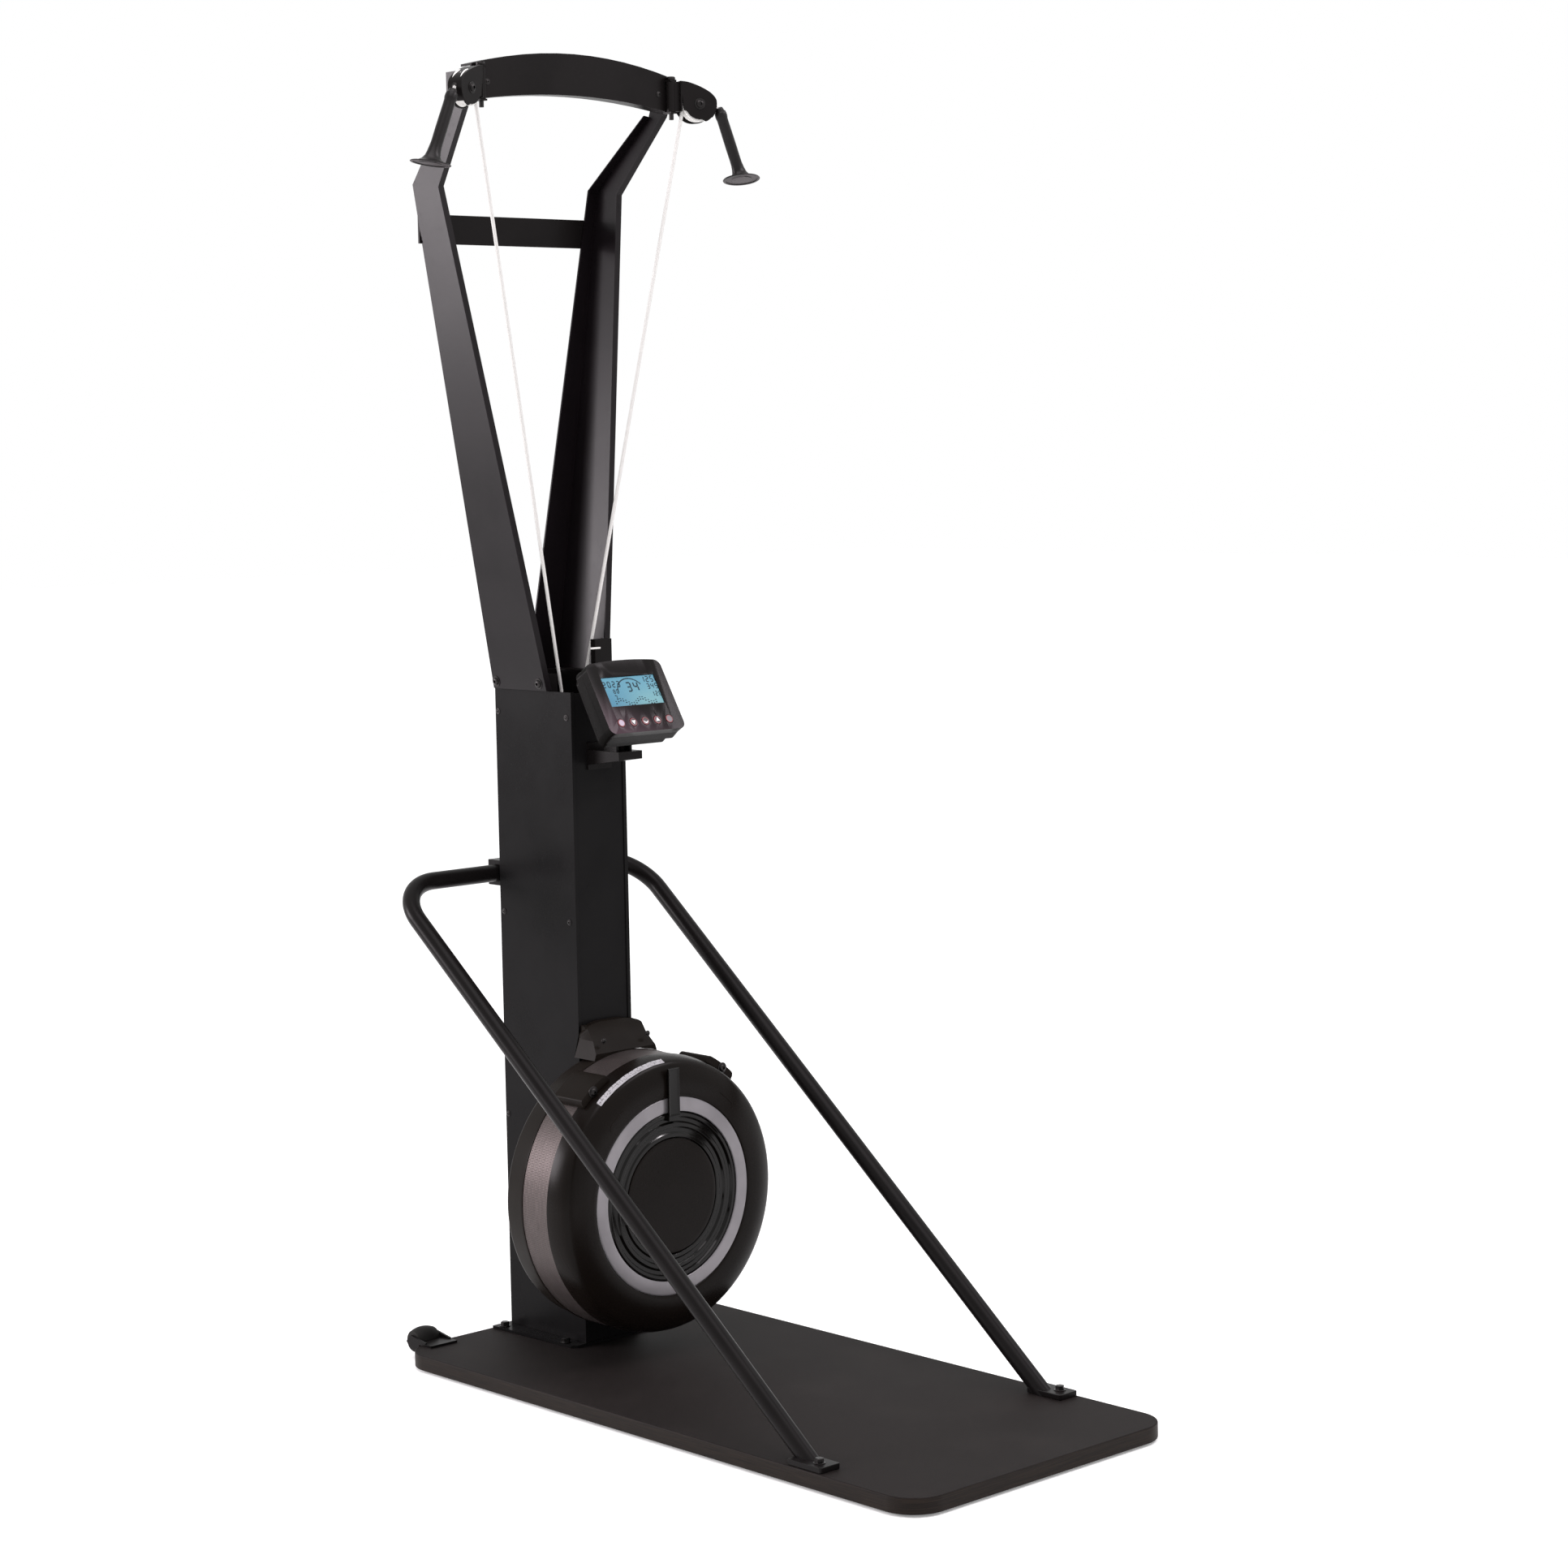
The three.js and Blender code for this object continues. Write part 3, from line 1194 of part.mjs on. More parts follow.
// Monitor arm: plate and block on the column, two ears and the pivot pin
function monitorArm() {
  const rear = columnFront + frontCoverRecess - seatGap;
  const front = columnFront - armBlockReach;
  const body = slabAlongX(outline([
    [front, armBlockTop], [rear, armBlockTop], [rear, armBlockFoot], [front, armBlockFoot + armBlockChamfer],
  ]), -armBlockHalf, 2 * armBlockHalf);
  const plate = block([-armBlockHalf, rear - armPlateThickness, armBlockFoot - armPlateBelow],
    [armBlockHalf, rear, armBlockTop + armPlateAbove]);
  const inner = pivotLugHalf + seatGap;
  const ears = [-1, 1].map((sign) => {
    const from = Math.min(sign * inner, sign * (inner + pivotEar));
    const shape = outline([
      [pivotY - pivotLug, armBlockTop - overrun], [pivotY + pivotLug + pivotEar, armBlockTop - overrun],
      [pivotY + pivotLug, pivotZ], [pivotY + pivotLug / 2, pivotZ + pivotTopShare * pivotLug],
      [pivotY - pivotLug / 2, pivotZ + pivotTopShare * pivotLug], [pivotY - pivotLug, pivotZ],
    ]);
    return slabAlongX(shape, from, pivotEar);
  });
  const pin = rodAlongX(pivotRadius, -inner - pivotEar, inner + pivotEar).translate(0, pivotY, pivotZ);
  return joined([body, plate, ...ears, pin]);
}
place('monitor_arm', monitorArm(), looks.plastic);

// Guide block in front of the right cord, with a lug to the right arm's lip
function cordGuide() {
  const lip = edgeY(armFrontEdge, guideFoot);
  const front = lip - guideStandoff;
  const outer = guideInnerX + guideWidth;
  return joined([
    block([guideInnerX, front, guideFoot], [outer, front + guideDepth, guideFoot + guideHeight]),
    block([outer - guideLugLap, front, guideFoot], [outer + guideLug, lip - seatGap, guideFoot + guideHeight]),
  ]);
}
place('cord_guide', cordGuide(), looks.plastic);

export default part;
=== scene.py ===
# %% [markdown]
# # A standing ski trainer
# The user stands on the board, pulls the two handles down, and the cords turn a flywheel
# that fans air. Each cell below makes one piece or one finish of the machine. The solids
# come first, because every visible piece is set on one of them.

# %% Load the solids
import json
import math

import bmesh
import bpy
from mathutils import Matrix, Vector

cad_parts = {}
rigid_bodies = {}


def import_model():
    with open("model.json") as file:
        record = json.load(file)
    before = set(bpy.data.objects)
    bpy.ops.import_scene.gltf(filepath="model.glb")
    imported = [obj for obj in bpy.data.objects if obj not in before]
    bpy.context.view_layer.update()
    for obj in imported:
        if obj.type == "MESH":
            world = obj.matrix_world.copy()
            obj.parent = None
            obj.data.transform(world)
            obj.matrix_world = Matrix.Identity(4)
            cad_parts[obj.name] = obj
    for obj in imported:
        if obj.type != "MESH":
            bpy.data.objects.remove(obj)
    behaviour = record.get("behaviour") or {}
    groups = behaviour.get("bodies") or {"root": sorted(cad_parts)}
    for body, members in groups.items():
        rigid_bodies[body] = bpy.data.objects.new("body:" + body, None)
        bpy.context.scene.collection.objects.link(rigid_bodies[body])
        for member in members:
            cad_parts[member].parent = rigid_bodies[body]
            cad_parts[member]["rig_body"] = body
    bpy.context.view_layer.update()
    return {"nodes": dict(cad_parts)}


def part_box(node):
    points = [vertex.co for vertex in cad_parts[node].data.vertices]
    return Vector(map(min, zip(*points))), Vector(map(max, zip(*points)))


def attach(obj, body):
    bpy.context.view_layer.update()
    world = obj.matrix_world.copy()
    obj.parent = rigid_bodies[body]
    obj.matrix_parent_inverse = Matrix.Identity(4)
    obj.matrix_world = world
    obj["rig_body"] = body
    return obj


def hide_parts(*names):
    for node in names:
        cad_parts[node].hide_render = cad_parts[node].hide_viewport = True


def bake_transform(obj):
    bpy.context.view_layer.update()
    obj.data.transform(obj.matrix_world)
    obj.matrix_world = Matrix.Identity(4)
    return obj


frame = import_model()
MM = 0.001

# %% [markdown]
# ## The camera
# The picture was taken from the front left, a little above the user's chest, with a long
# lens. A long lens from far away keeps the column's edges almost parallel.

# %% Camera
eye = Vector((-3.733, -4.018, 1.579))
azimuth = math.radians(43.316)
pitch = math.radians(-5.823)
roll = math.radians(-1.019)
camera = bpy.data.objects.new("camera", bpy.data.cameras.new("camera"))
bpy.context.scene.collection.objects.link(camera)
camera.data.sensor_width = 36
camera.data.lens = 78.38
aim = Matrix.Rotation(-azimuth, 4, "Z") @ Matrix.Rotation(math.pi / 2 + pitch, 4, "X")
camera.matrix_world = Matrix.Translation(eye) @ aim @ Matrix.Rotation(roll, 4, "Z")
bpy.context.scene.camera = camera
print("camera at", tuple(round(c, 3) for c in eye))

# %% [markdown]
# ## Cords
# Each cord comes up from a drum inside the column, leaves through the column's open mouth,
# runs straight to its pulley, goes over it and holds the handle. The handle keeps it taut,
# so every stretch is straight. A tube is laid along the route as rings of points, because
# that also gives it a map for its braid: once around and so far along.

# %% A tube along a route
def tube(name, points, radius, sides=12, map_scale=1):
    """A closed round tube through the points, with its own map in metres times map_scale."""
    points = [Vector(p) for p in points]
    sheet = bmesh.new()
    chart = sheet.loops.layers.uv.new("along")
    side = (points[1] - points[0]).orthogonal().normalized()
    rings, travelled = [], [0.0]
    for k, point in enumerate(points):
        before = points[max(k - 1, 0)]
        after = points[min(k + 1, len(points) - 1)]
        along = (after - before).normalized()
        side = (side - along * side.dot(along)).normalized()
        other = along.cross(side)
        if k:
            travelled.append(travelled[-1] + (point - before).length * map_scale)
        turns = [2 * math.pi * i / sides for i in range(sides)]
        rings.append([sheet.verts.new(point + radius * (side * math.cos(t) + other * math.sin(t)))
                      for t in turns])
    for k in range(len(rings) - 1):
        for i in range(sides):
            j = (i + 1) % sides
            face = sheet.faces.new((rings[k][i], rings[k][j], rings[k + 1][j], rings[k + 1][i]))
            face.smooth = True
            spots = ((i, k), (i + 1, k), (i + 1, k + 1), (i, k + 1))
            for loop, (around, ahead) in zip(face.loops, spots):
                loop[chart].uv = (around / sides * 2 * math.pi * radius, travelled[ahead])
    sheet.faces.new(rings[0][::-1])
    sheet.faces.new(rings[-1])
    mesh = bpy.data.meshes.new(name)
    sheet.to_mesh(mesh)
    sheet.free()
    piece = bpy.data.objects.new(name, mesh)
    bpy.context.scene.collection.objects.link(piece)
    return piece


def spread(start, end, steps):
    """Evenly spaced points from start up to, but without, end."""
    start, end = Vector(start), Vector(end)
    return [start.lerp(end, i / steps) for i in range(steps)]

# %% [markdown]
# All places are given for the right side, in millimetres, and the left side mirrors them.
# The hood that holds the pulley is turned about its hinge, so the pulley's plane is worked
# out from that turn.

# %% Places along the cords
sides_of = {"left": -1, "right": 1}
fan_height = 307.7
cord_radius = 3 * MM
drum_x = 31 * MM
drum_z = fan_height * MM
drum_y = {"left": 461 * MM, "right": 485 * MM}
cord_mouth = Vector((24.4, 464.3, 1155)) * MM
cord_high = Vector((220.4, 405.6, 2110)) * MM
handle_top = Vector((291, 380, 2134)) * MM
handle_foot = Vector((338.5, 380, 2021)) * MM
pull_direction = (handle_foot - handle_top).normalized()

hinge = Vector((206.5, 411.4, 0)) * MM
hood_turn = math.radians(19.5)
hood_along = Vector((math.cos(hood_turn), -math.sin(hood_turn), 0))
hood_across = Vector((math.sin(hood_turn), math.cos(hood_turn), 0))
axle_height = 2147 * MM
axle_reach = 48 * MM
pulley_pitch = 24.6 * MM
pulley_center = hinge + axle_reach * hood_along + Vector((0, 0, axle_height))


def mirrored(point, sign):
    """The point on the machine's left side when sign is -1."""
    return Vector((sign * point[0], point[1], point[2]))


print("pulley's axle at", tuple(round(c, 3) for c in pulley_center))

# %% [markdown]
# The cord touches the pulley where its straight run first meets the groove, and leaves it
# where the line to the handle is a tangent. Both angles follow from the places above.

# %% Over the pulley
lean = (cord_high - cord_mouth).normalized()
wrap_from = math.pi - math.atan2(math.hypot(lean.x, lean.y), lean.z)
handle_out = (handle_top.x - pulley_center.x) / hood_along.x
handle_up = handle_top.z - axle_height
wrap_to = math.atan2(handle_up, handle_out) + math.acos(pulley_pitch / math.hypot(handle_out, handle_up))
wrap_steps = 18
wrap = []
for i in range(wrap_steps + 1):
    turn = wrap_from + (wrap_to - wrap_from) * i / wrap_steps
    reach = hood_along * math.cos(turn) + Vector((0, 0, 1)) * math.sin(turn)
    wrap.append(pulley_center + pulley_pitch * reach)
print("cord on the pulley:", round(math.degrees(wrap_from - wrap_to)), "degrees")

# %% [markdown]
# The long run belongs to the frame at its foot and to the swinging hood at its top, so it is
# blended between the two. The short run to the handle stretches to a full pull, so its braid
# is mapped finer than life.

# %% The cords of both sides
pull_map_scale = 20
cords = {}
for side, sign in sides_of.items():
    mouth = mirrored(cord_mouth, sign)
    drum = Vector((drum_x, drum_y[side], drum_z))
    bend = mouth.lerp(drum, 0.1)
    over_pulley = [mirrored(p, sign) for p in wrap]
    blend_from = over_pulley[0].lerp(mouth, 0.2)
    route = spread(drum, bend, 4) + spread(bend, mouth, 4) + spread(mouth, blend_from, 6)
    route += spread(blend_from, over_pulley[0], 16) + over_pulley
    run = tube(f"cord_run_{side}", route, cord_radius)
    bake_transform(run)
    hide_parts(f"cord_{side}_lower")
    knot = mirrored(handle_top + pull_direction * 2 * MM, sign)
    pull_route = spread(over_pulley[-1], knot, 24) + [knot]
    pull = tube(f"cord_pull_{side}", pull_route, cord_radius, map_scale=pull_map_scale)
    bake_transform(pull)
    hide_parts(f"cord_{side}_upper")
    cords[side] = (run, pull)
    length = sum((b - a).length for a, b in zip(route, route[1:]))
    print(f"cord {side}: {length:.2f} m to the pulley's far side")

# %% [markdown]
# ## Picking and finishing
# Blender's operators act on whatever is selected. So a step first chooses one piece and, in
# edit mode, the faces that it is meant for, by their place or by where they face.

# %% Selecting
def work_on(piece):
    """Makes the piece the only selected object."""
    bpy.ops.object.select_all(action="DESELECT")
    piece.select_set(True)
    bpy.context.view_layer.objects.active = piece


def edit(piece, pick=None):
    """Opens the piece in edit mode with all of its faces selected, or those that pass the test."""
    work_on(piece)
    bpy.ops.object.mode_set(mode="EDIT")
    bpy.ops.mesh.select_mode(type="FACE")
    bpy.ops.mesh.select_all(action="SELECT" if pick is None else "DESELECT")
    if pick is not None:
        sheet = bmesh.from_edit_mesh(piece.data)
        for face in sheet.faces:
            face.select_set(bool(pick(face)))
        bmesh.update_edit_mesh(piece.data)


def leave_edit():
    bpy.ops.object.mode_set(mode="OBJECT")

# %% [markdown]
# No real edge is perfectly sharp. A bevel of a millimetre or two gives an edge the thin
# line of light that the eye expects, and weighted normals keep the big flat faces even, so
# the light turns only on the rounded edge.

# %% Rounding and finishing
def bevel(piece, width, segments=2, angle=35):
    """Rounds the edges that are sharper than the angle, as moulded and cut parts have them."""
    work_on(piece)
    rounding = piece.modifiers.new("rounding", "BEVEL")
    rounding.width = width
    rounding.segments = segments
    rounding.limit_method = "ANGLE"
    rounding.angle_limit = math.radians(angle)
    rounding.use_clamp_overlap = True
    bpy.ops.object.modifier_apply(modifier=rounding.name)
    return piece


def settle(piece, name, body, look, angle=35):
    """Finishes a piece: its place goes into its mesh, and it gets smooth faces, a body and a look."""
    piece.name = name
    piece.data.name = name
    work_on(piece)
    bpy.ops.object.transform_apply(location=True, rotation=True, scale=True)
    edit(piece)
    bpy.ops.mesh.normals_make_consistent(inside=False)
    leave_edit()
    bpy.ops.object.shade_smooth_by_angle(angle=math.radians(angle))
    even = piece.modifiers.new("even", "WEIGHTED_NORMAL")
    even.keep_sharp = True
    bpy.ops.object.modifier_apply(modifier=even.name)
    piece.data.materials.clear()
    for one in look if isinstance(look, tuple) else (look,):
        piece.data.materials.append(one)
    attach(piece, body)
    return piece

# %% [markdown]
# ## Materials
# A material here is a small calculation: where is this point, what grain falls on it, how
# dark and how rough is it. Blender writes such a calculation as nodes joined by wires. This
# class stands for one wire, so that a sum of two wires reads as plain arithmetic.

# %% A material as arithmetic
class Wire:
    """One output of a node. Arithmetic on it adds Math nodes."""

    def __init__(self, paint, socket):
        self.paint, self.socket = paint, socket

    def math(self, operation, *others):
        return self.paint.math(operation, self, *others)

    def __add__(self, other):
        return self.math("ADD", other)

    def __sub__(self, other):
        return self.math("SUBTRACT", other)

    def __rsub__(self, other):
        return self.paint.math("SUBTRACT", other, self)

    def __mul__(self, other):
        return self.math("MULTIPLY", other)

    def __lt__(self, other):
        return self.math("LESS_THAN", other)

    def __gt__(self, other):
        return self.math("GREATER_THAN", other)

    def __abs__(self):
        return self.math("ABSOLUTE")

    __radd__ = __add__
    __rmul__ = __mul__

    def wrapped(self, size):
        """The rest after whole sizes are taken off, from 0 to the size."""
        return self.math("WRAP", size, 0.0)

    def ramp(self, low, high, start=0.0, end=1.0):
        """Maps low to start and high to end, and holds beyond them."""
        return self.paint.node("ShaderNodeMapRange", {"interpolation_type": "SMOOTHSTEP"}, {
            "Value": self, "From Min": low, "From Max": high, "To Min": start, "To Max": end})

# %% [markdown]
# A paint holds one material while it is made. It adds nodes on request: the place of a point,
# noise, a mix of two colours, and a relief that tips the light without moving the surface.

# %% A material in the making
class Paint:
    """A material in the making: its node tree and its surface shader."""

    def __init__(self, name, color, roughness, **constants):
        self.material = bpy.data.materials.new(name)
        self.material.use_nodes = True
        self.tree = self.material.node_tree
        self.shader = self.tree.nodes["Principled BSDF"]
        self.set("Base Color", (*color, 1))
        self.set("Roughness", roughness)
        for key, value in constants.items():
            self.set(key.replace("_", " "), value)

    def set(self, key, value):
        self.feed(self.shader.inputs[key], value)

    def feed(self, socket, value):
        if isinstance(value, Wire):
            self.tree.links.new(value.socket, socket)
        else:
            socket.default_value = value

    def node(self, kind, settings, sockets, output=0):
        made = self.tree.nodes.new(kind)
        for key, value in settings.items():
            setattr(made, key, value)
        for key, value in sockets.items():
            self.feed(made.inputs[key], value)
        return Wire(self, made.outputs[output])

    def math(self, operation, *values):
        return self.node("ShaderNodeMath", {"operation": operation}, dict(enumerate(values)))

    def place(self, scale=(1, 1, 1)):
        """The point in the machine's frame in metres, stretched per axis."""
        here = self.node("ShaderNodeTexCoord", {}, {}, "Object")
        return self.node("ShaderNodeMapping", {}, {"Vector": here, "Scale": scale})

    def axes(self, vector=None):
        split = self.tree.nodes.new("ShaderNodeSeparateXYZ")
        self.feed(split.inputs[0], vector or self.place())
        return [Wire(self, out) for out in split.outputs]

    def noise(self, scale, detail=2.0, stretch=(1, 1, 1), rough=0.5):
        return self.node("ShaderNodeTexNoise", {}, {
            "Vector": self.place(stretch), "Scale": scale, "Detail": detail, "Roughness": rough})

    def mix(self, share, low, high):
        """Two colours mixed by the share."""
        made = self.tree.nodes.new("ShaderNodeMix")
        made.data_type = "RGBA"
        sockets = [s for s in made.inputs if s.type == "RGBA"]
        self.feed(made.inputs["Factor"], share)
        for socket, value in zip(sockets, (low, high)):
            self.feed(socket, value if isinstance(value, Wire) else (*value, 1))
        return Wire(self, [s for s in made.outputs if s.type == "RGBA"][0])

    def bump(self, height, depth, strength=1.0):
        """Relief of the depth in mm, where the height goes from 0 to 1."""
        self.set("Normal", self.node("ShaderNodeBump", {}, {
            "Height": height, "Distance": depth * MM, "Strength": strength}))


def shaded(color, share):
    """The colour at this share of its brightness."""
    return tuple(c * share for c in color)

# %% [markdown]
# ## Powder coat
# The steel is coated with baked powder. It melts into a skin with a faint orange peel about
# a millimetre across, satin, and a little cloudy over larger distances.

# %% Powder coat
def powder_coat(name, color, rough, shine):
    paint = Paint(name, color, rough, Specular_IOR_Level=shine)
    cloud = paint.noise(9, 3)
    peel = paint.noise(850, 1.5)
    dust = paint.noise(140, 4, rough=0.65)
    paint.set("Base Color", paint.mix(cloud.ramp(0.35, 0.65), shaded(color, 0.82), color))
    paint.set("Roughness", rough + (cloud - 0.5) * 0.1 + dust.ramp(0.55, 0.75) * 0.07)
    paint.bump(peel + dust * 0.4, 0.012)
    return paint.material


powder_arm = powder_coat("powder_arm", (0.0056, 0.0041, 0.0049), 0.3, 0.13)
powder_black = powder_coat("powder_black", (0.0062, 0.0052, 0.0052), 0.32, 0.075)
powder_column = powder_coat("powder_column", (0.0076, 0.0072, 0.0074), 0.28, 0.035)
print("powder coats made")

# %% [markdown]
# ## Plain steels
# Bolts are blackened, axles and bearings are bright, and the flywheel is brushed along its
# rim. Fine scratches vary how rough the metal is, and that is what tells it from paint.

# %% Steels
def metal(name, color, rough, grain, stretch=(1, 1, 1)):
    paint = Paint(name, color, rough, Metallic=1.0)
    scratch = paint.noise(grain, 3, stretch)
    stain = paint.noise(60, 3)
    paint.set("Base Color", paint.mix(stain.ramp(0.4, 0.7), color, shaded(color, 0.7)))
    paint.set("Roughness", rough + (scratch - 0.5) * 0.25)
    paint.bump(scratch, 0.02)
    return paint.material


dark_steel = metal("dark_steel", (0.03, 0.028, 0.028), 0.34, 700)
bright_steel = metal("bright_steel", (0.56, 0.55, 0.54), 0.24, 900)
wheel_steel = metal("wheel_steel", (0.42, 0.42, 0.43), 0.34, 500, (1, 8, 1))
print("steels made")

# %% [markdown]
# ## Board
# The board has a hard charcoal face with a fine pebbled grain for grip, flecked and a little
# worn where feet have stood.

# %% Board face
paint = Paint("board_face", (0.02, 0.018, 0.017), 0.7, Specular_IOR_Level=0.12)
pebble = paint.noise(1500, 2)
fleck = paint.noise(420, 2, rough=0.6)
wear = paint.noise(7, 4)
tone = paint.mix(fleck.ramp(0.4, 0.68), (0.005, 0.0031, 0.0029), (0.0125, 0.0094, 0.0088))
paint.set("Base Color", paint.mix(wear.ramp(0.45, 0.8, 0, 0.35), tone, (0.018, 0.0142, 0.0132)))
paint.set("Roughness", 0.68 + (fleck - 0.5) * 0.2)
paint.bump(pebble, 0.12)
board_face = paint.material

# %% [markdown]
# The board's cut edge shows the thin dark layers that it is pressed from. Noise that is
# squeezed hard in height and drawn out sideways makes such layers.

# %% Board edge
paint = Paint("board_edge", (0.03, 0.022, 0.018), 0.6, Specular_IOR_Level=0.12)
layers = paint.noise(1, 4, (14, 14, 1500), 0.6)
fibre = paint.noise(1, 3, (500, 500, 260), 0.6)
tone = paint.mix(layers.ramp(0.35, 0.68), (0.003, 0.0018, 0.0014), (0.016, 0.0105, 0.0075))
paint.set("Base Color", tone)
paint.set("Roughness", 0.45 + layers * 0.2)
paint.bump(layers + fibre * 0.5, 0.1)
board_edge = paint.material
print("board's face and edge made")

# %% [markdown]
# ## Plastics
# Moulded plastic takes its shine from the mould. The fan's cover is satin with a very fine
# grain, the dial is polished, and the ring round it is painted a silver lilac.

# %% Moulded plastics
def plastic(name, color, rough, grain=1200, relief=0.03, **constants):
    paint = Paint(name, color, rough, **constants)
    fine = paint.noise(grain, 2)
    haze = paint.noise(16, 3)
    paint.set("Base Color", paint.mix(haze.ramp(0.35, 0.7), color, shaded(color, 0.85)))
    paint.set("Roughness", rough + (haze - 0.5) * 0.08 + (fine - 0.5) * 0.06)
    paint.bump(fine, relief)
    return paint.material


fan_plastic = plastic("fan_plastic", (0.0052, 0.0037, 0.003), 0.27, Specular_IOR_Level=0.075)
shroud_plastic = plastic("shroud_plastic", (0.0085, 0.0066, 0.0054), 0.38, Specular_IOR_Level=0.035)
gloss_plastic = plastic("gloss_plastic", (0.0026, 0.0022, 0.0019), 0.1, 500, 0.002, Specular_IOR_Level=0.17)
silver_plastic = plastic("silver_plastic", (0.2, 0.188, 0.2), 0.3, 1500, 0.012, Metallic=0.5)
sole_plastic = plastic("sole_plastic", (0.035, 0.027, 0.03), 0.5, 900, 0.05, Specular_IOR_Level=0.3)
handle_plastic = plastic("handle_plastic", (0.0065, 0.0055, 0.0055), 0.36, 1400, 0.03,
                         Specular_IOR_Level=0.17)
white_nylon = plastic("white_nylon", (0.78, 0.77, 0.75), 0.42, 900, 0.02)
monitor_dark = plastic("monitor_dark", (0.0036, 0.0033, 0.003), 0.24, 1600, 0.02, Specular_IOR_Level=0.03)
button_grey = plastic("button_grey", (0.1, 0.092, 0.105), 0.4, 1200, 0.015)
button_lilac = plastic("button_lilac", (0.3, 0.24, 0.32), 0.35, 1200, 0.015)
button_white = plastic("button_white", (0.75, 0.73, 0.75), 0.4, 1200, 0.015)
button_dark = plastic("button_dark", (0.012, 0.008, 0.01), 0.3, 1200, 0.015, Specular_IOR_Level=0.25)
button_red = plastic("button_red", (0.13, 0.008, 0.014), 0.35, 1200, 0.015)
print("plastics made")

# %% [markdown]
# ## Monitor face
# The monitor's front is one polished moulding that leans back. A sheen is painted into its
# colour toward the lower left corner, so the colour follows the place on the face: so far
# right of the middle and so far up the slope.

# %% Monitor face
face_foot = Vector((0, 266, 1093)) * MM
face_head = Vector((0, 333.6, 1205)) * MM
face_up = (face_head - face_foot).normalized()
face_out = Vector((1, 0, 0)).cross(face_up)


def up_the_face(paint):
    """How far right of the middle and how far up the monitor's face a point lies, in metres."""
    x, y, z = paint.axes()
    return x, (y - face_foot.y) * face_up.y + (z - face_foot.z) * face_up.z


paint = Paint("monitor_face", (0.006, 0.005, 0.0055), 0.48, Specular_IOR_Level=0.06)
right, rise = up_the_face(paint)
# Painted sheen: the share of the lighter violet colour rises toward the face's lower left corner.
corner = (rise + right * 0.5).ramp(-50 * MM, 60 * MM, 1.0, 0.0)
mould = paint.noise(1500, 2)
paint.set("Base Color", paint.mix(corner, (0.0055, 0.0045, 0.0045), (0.055, 0.034, 0.043)))
paint.set("Roughness", 0.2 + mould * 0.06)
paint.bump(mould, 0.01)
monitor_face = paint.material

# %% [markdown]
# The display is a lit panel behind glass. Its blue isn't even: it pales to the right and the
# light behind it is a little blotchy, so noise shifts the place where the colours meet.

# %% Display and its ink
paint = Paint("lit_display", (0.1, 0.3, 0.36), 0.4, Specular_IOR_Level=0.1)
right, rise = up_the_face(paint)
mottle = paint.noise(160, 4, rough=0.7)
across = (right + (mottle - 0.5) * 0.03).ramp(-62 * MM, 40 * MM)
sky = paint.mix(across, (0.022, 0.12, 0.19), (0.085, 0.21, 0.235))
glow = paint.mix((rise + (mottle - 0.5) * 0.02).ramp(50 * MM, 106 * MM), sky, (0.05, 0.17, 0.235))
paint.set("Base Color", glow)
paint.set("Emission Color", glow)
paint.set("Emission Strength", 0.35)
paint.set("Roughness", 0.2 + mottle * 0.1)
lit_display = paint.material

paint = Paint("display_ink", (0.006, 0.02, 0.03), 0.5, Specular_IOR_Level=0.15)
ink_cloud = paint.noise(300, 3)
paint.set("Base Color", paint.mix(ink_cloud.ramp(0.35, 0.65), (0.004, 0.014, 0.022), (0.012, 0.04, 0.055)))
paint.set("Roughness", 0.45 + ink_cloud * 0.1)
display_ink = paint.material
print("monitor's finishes made")

# %% [markdown]
# ## Damper scale
# The scale is a silver strip round the fan. The angle about the fan's middle says where a
# tick falls, and the distance from it says whether the tick reaches that far.

# %% Damper scale
paint = Paint("scale_print", (0.35, 0.34, 0.36), 0.4)
tick_step = 2.5
x, y, z = paint.axes()
level = z - fan_height * MM
angle = x.math("ARCTAN2", level) * (180 / math.pi)
reach = (x * x + level * level).math("SQRT")
tick = angle.wrapped(tick_step).ramp(0.3, 0.42, 1.0, 0.0) * (reach > 232.5 * MM)
figures = paint.noise(420, 3, rough=0.7).ramp(0.53, 0.58) * (reach > 229.5 * MM) * (reach < 232 * MM)
paint.set("Base Color", paint.mix(tick.math("MAXIMUM", figures), (0.34, 0.33, 0.35), (0.02, 0.018, 0.02)))
paint.set("Roughness", 0.36 + paint.noise(900) * 0.1)
scale_print = paint.material

# %% [markdown]
# ## Perforated band
# Air enters through a steel band with rows of small holes. Two sine waves, one around the
# band and one across it, multiply to a grid of round spots. They are shaded dark and pressed
# in, because thousands of real holes would cost more than they show.

# %% Perforated band
paint = Paint("screen_metal", (0.16, 0.125, 0.12), 0.42, Metallic=0.8)
hole_pitch = 2.6 * MM
band_radius = 235 * MM
x, y, z = paint.axes()
around = x.math("ARCTAN2", z - fan_height * MM) * band_radius
holes = (around * (math.pi / hole_pitch)).math("SINE") * (y * (math.pi / hole_pitch)).math("SINE")
open_share = abs(holes).ramp(0.45, 0.75)
brushed = paint.noise(30, 4, (1, 60, 1))
steel = paint.mix(brushed.ramp(0.3, 0.7), (0.055, 0.045, 0.043), (0.115, 0.094, 0.092))
paint.set("Base Color", paint.mix(open_share, steel, (0.02, 0.015, 0.014)))
paint.set("Roughness", 0.36 + brushed * 0.2)
paint.bump(1 - open_share, 0.35)
screen_metal = paint.material
print("scale and band finishes made")

# %% [markdown]
# ## Rubber
# Rubber hardly shines. Fine grit makes it matt, and pale dust settles in patches.

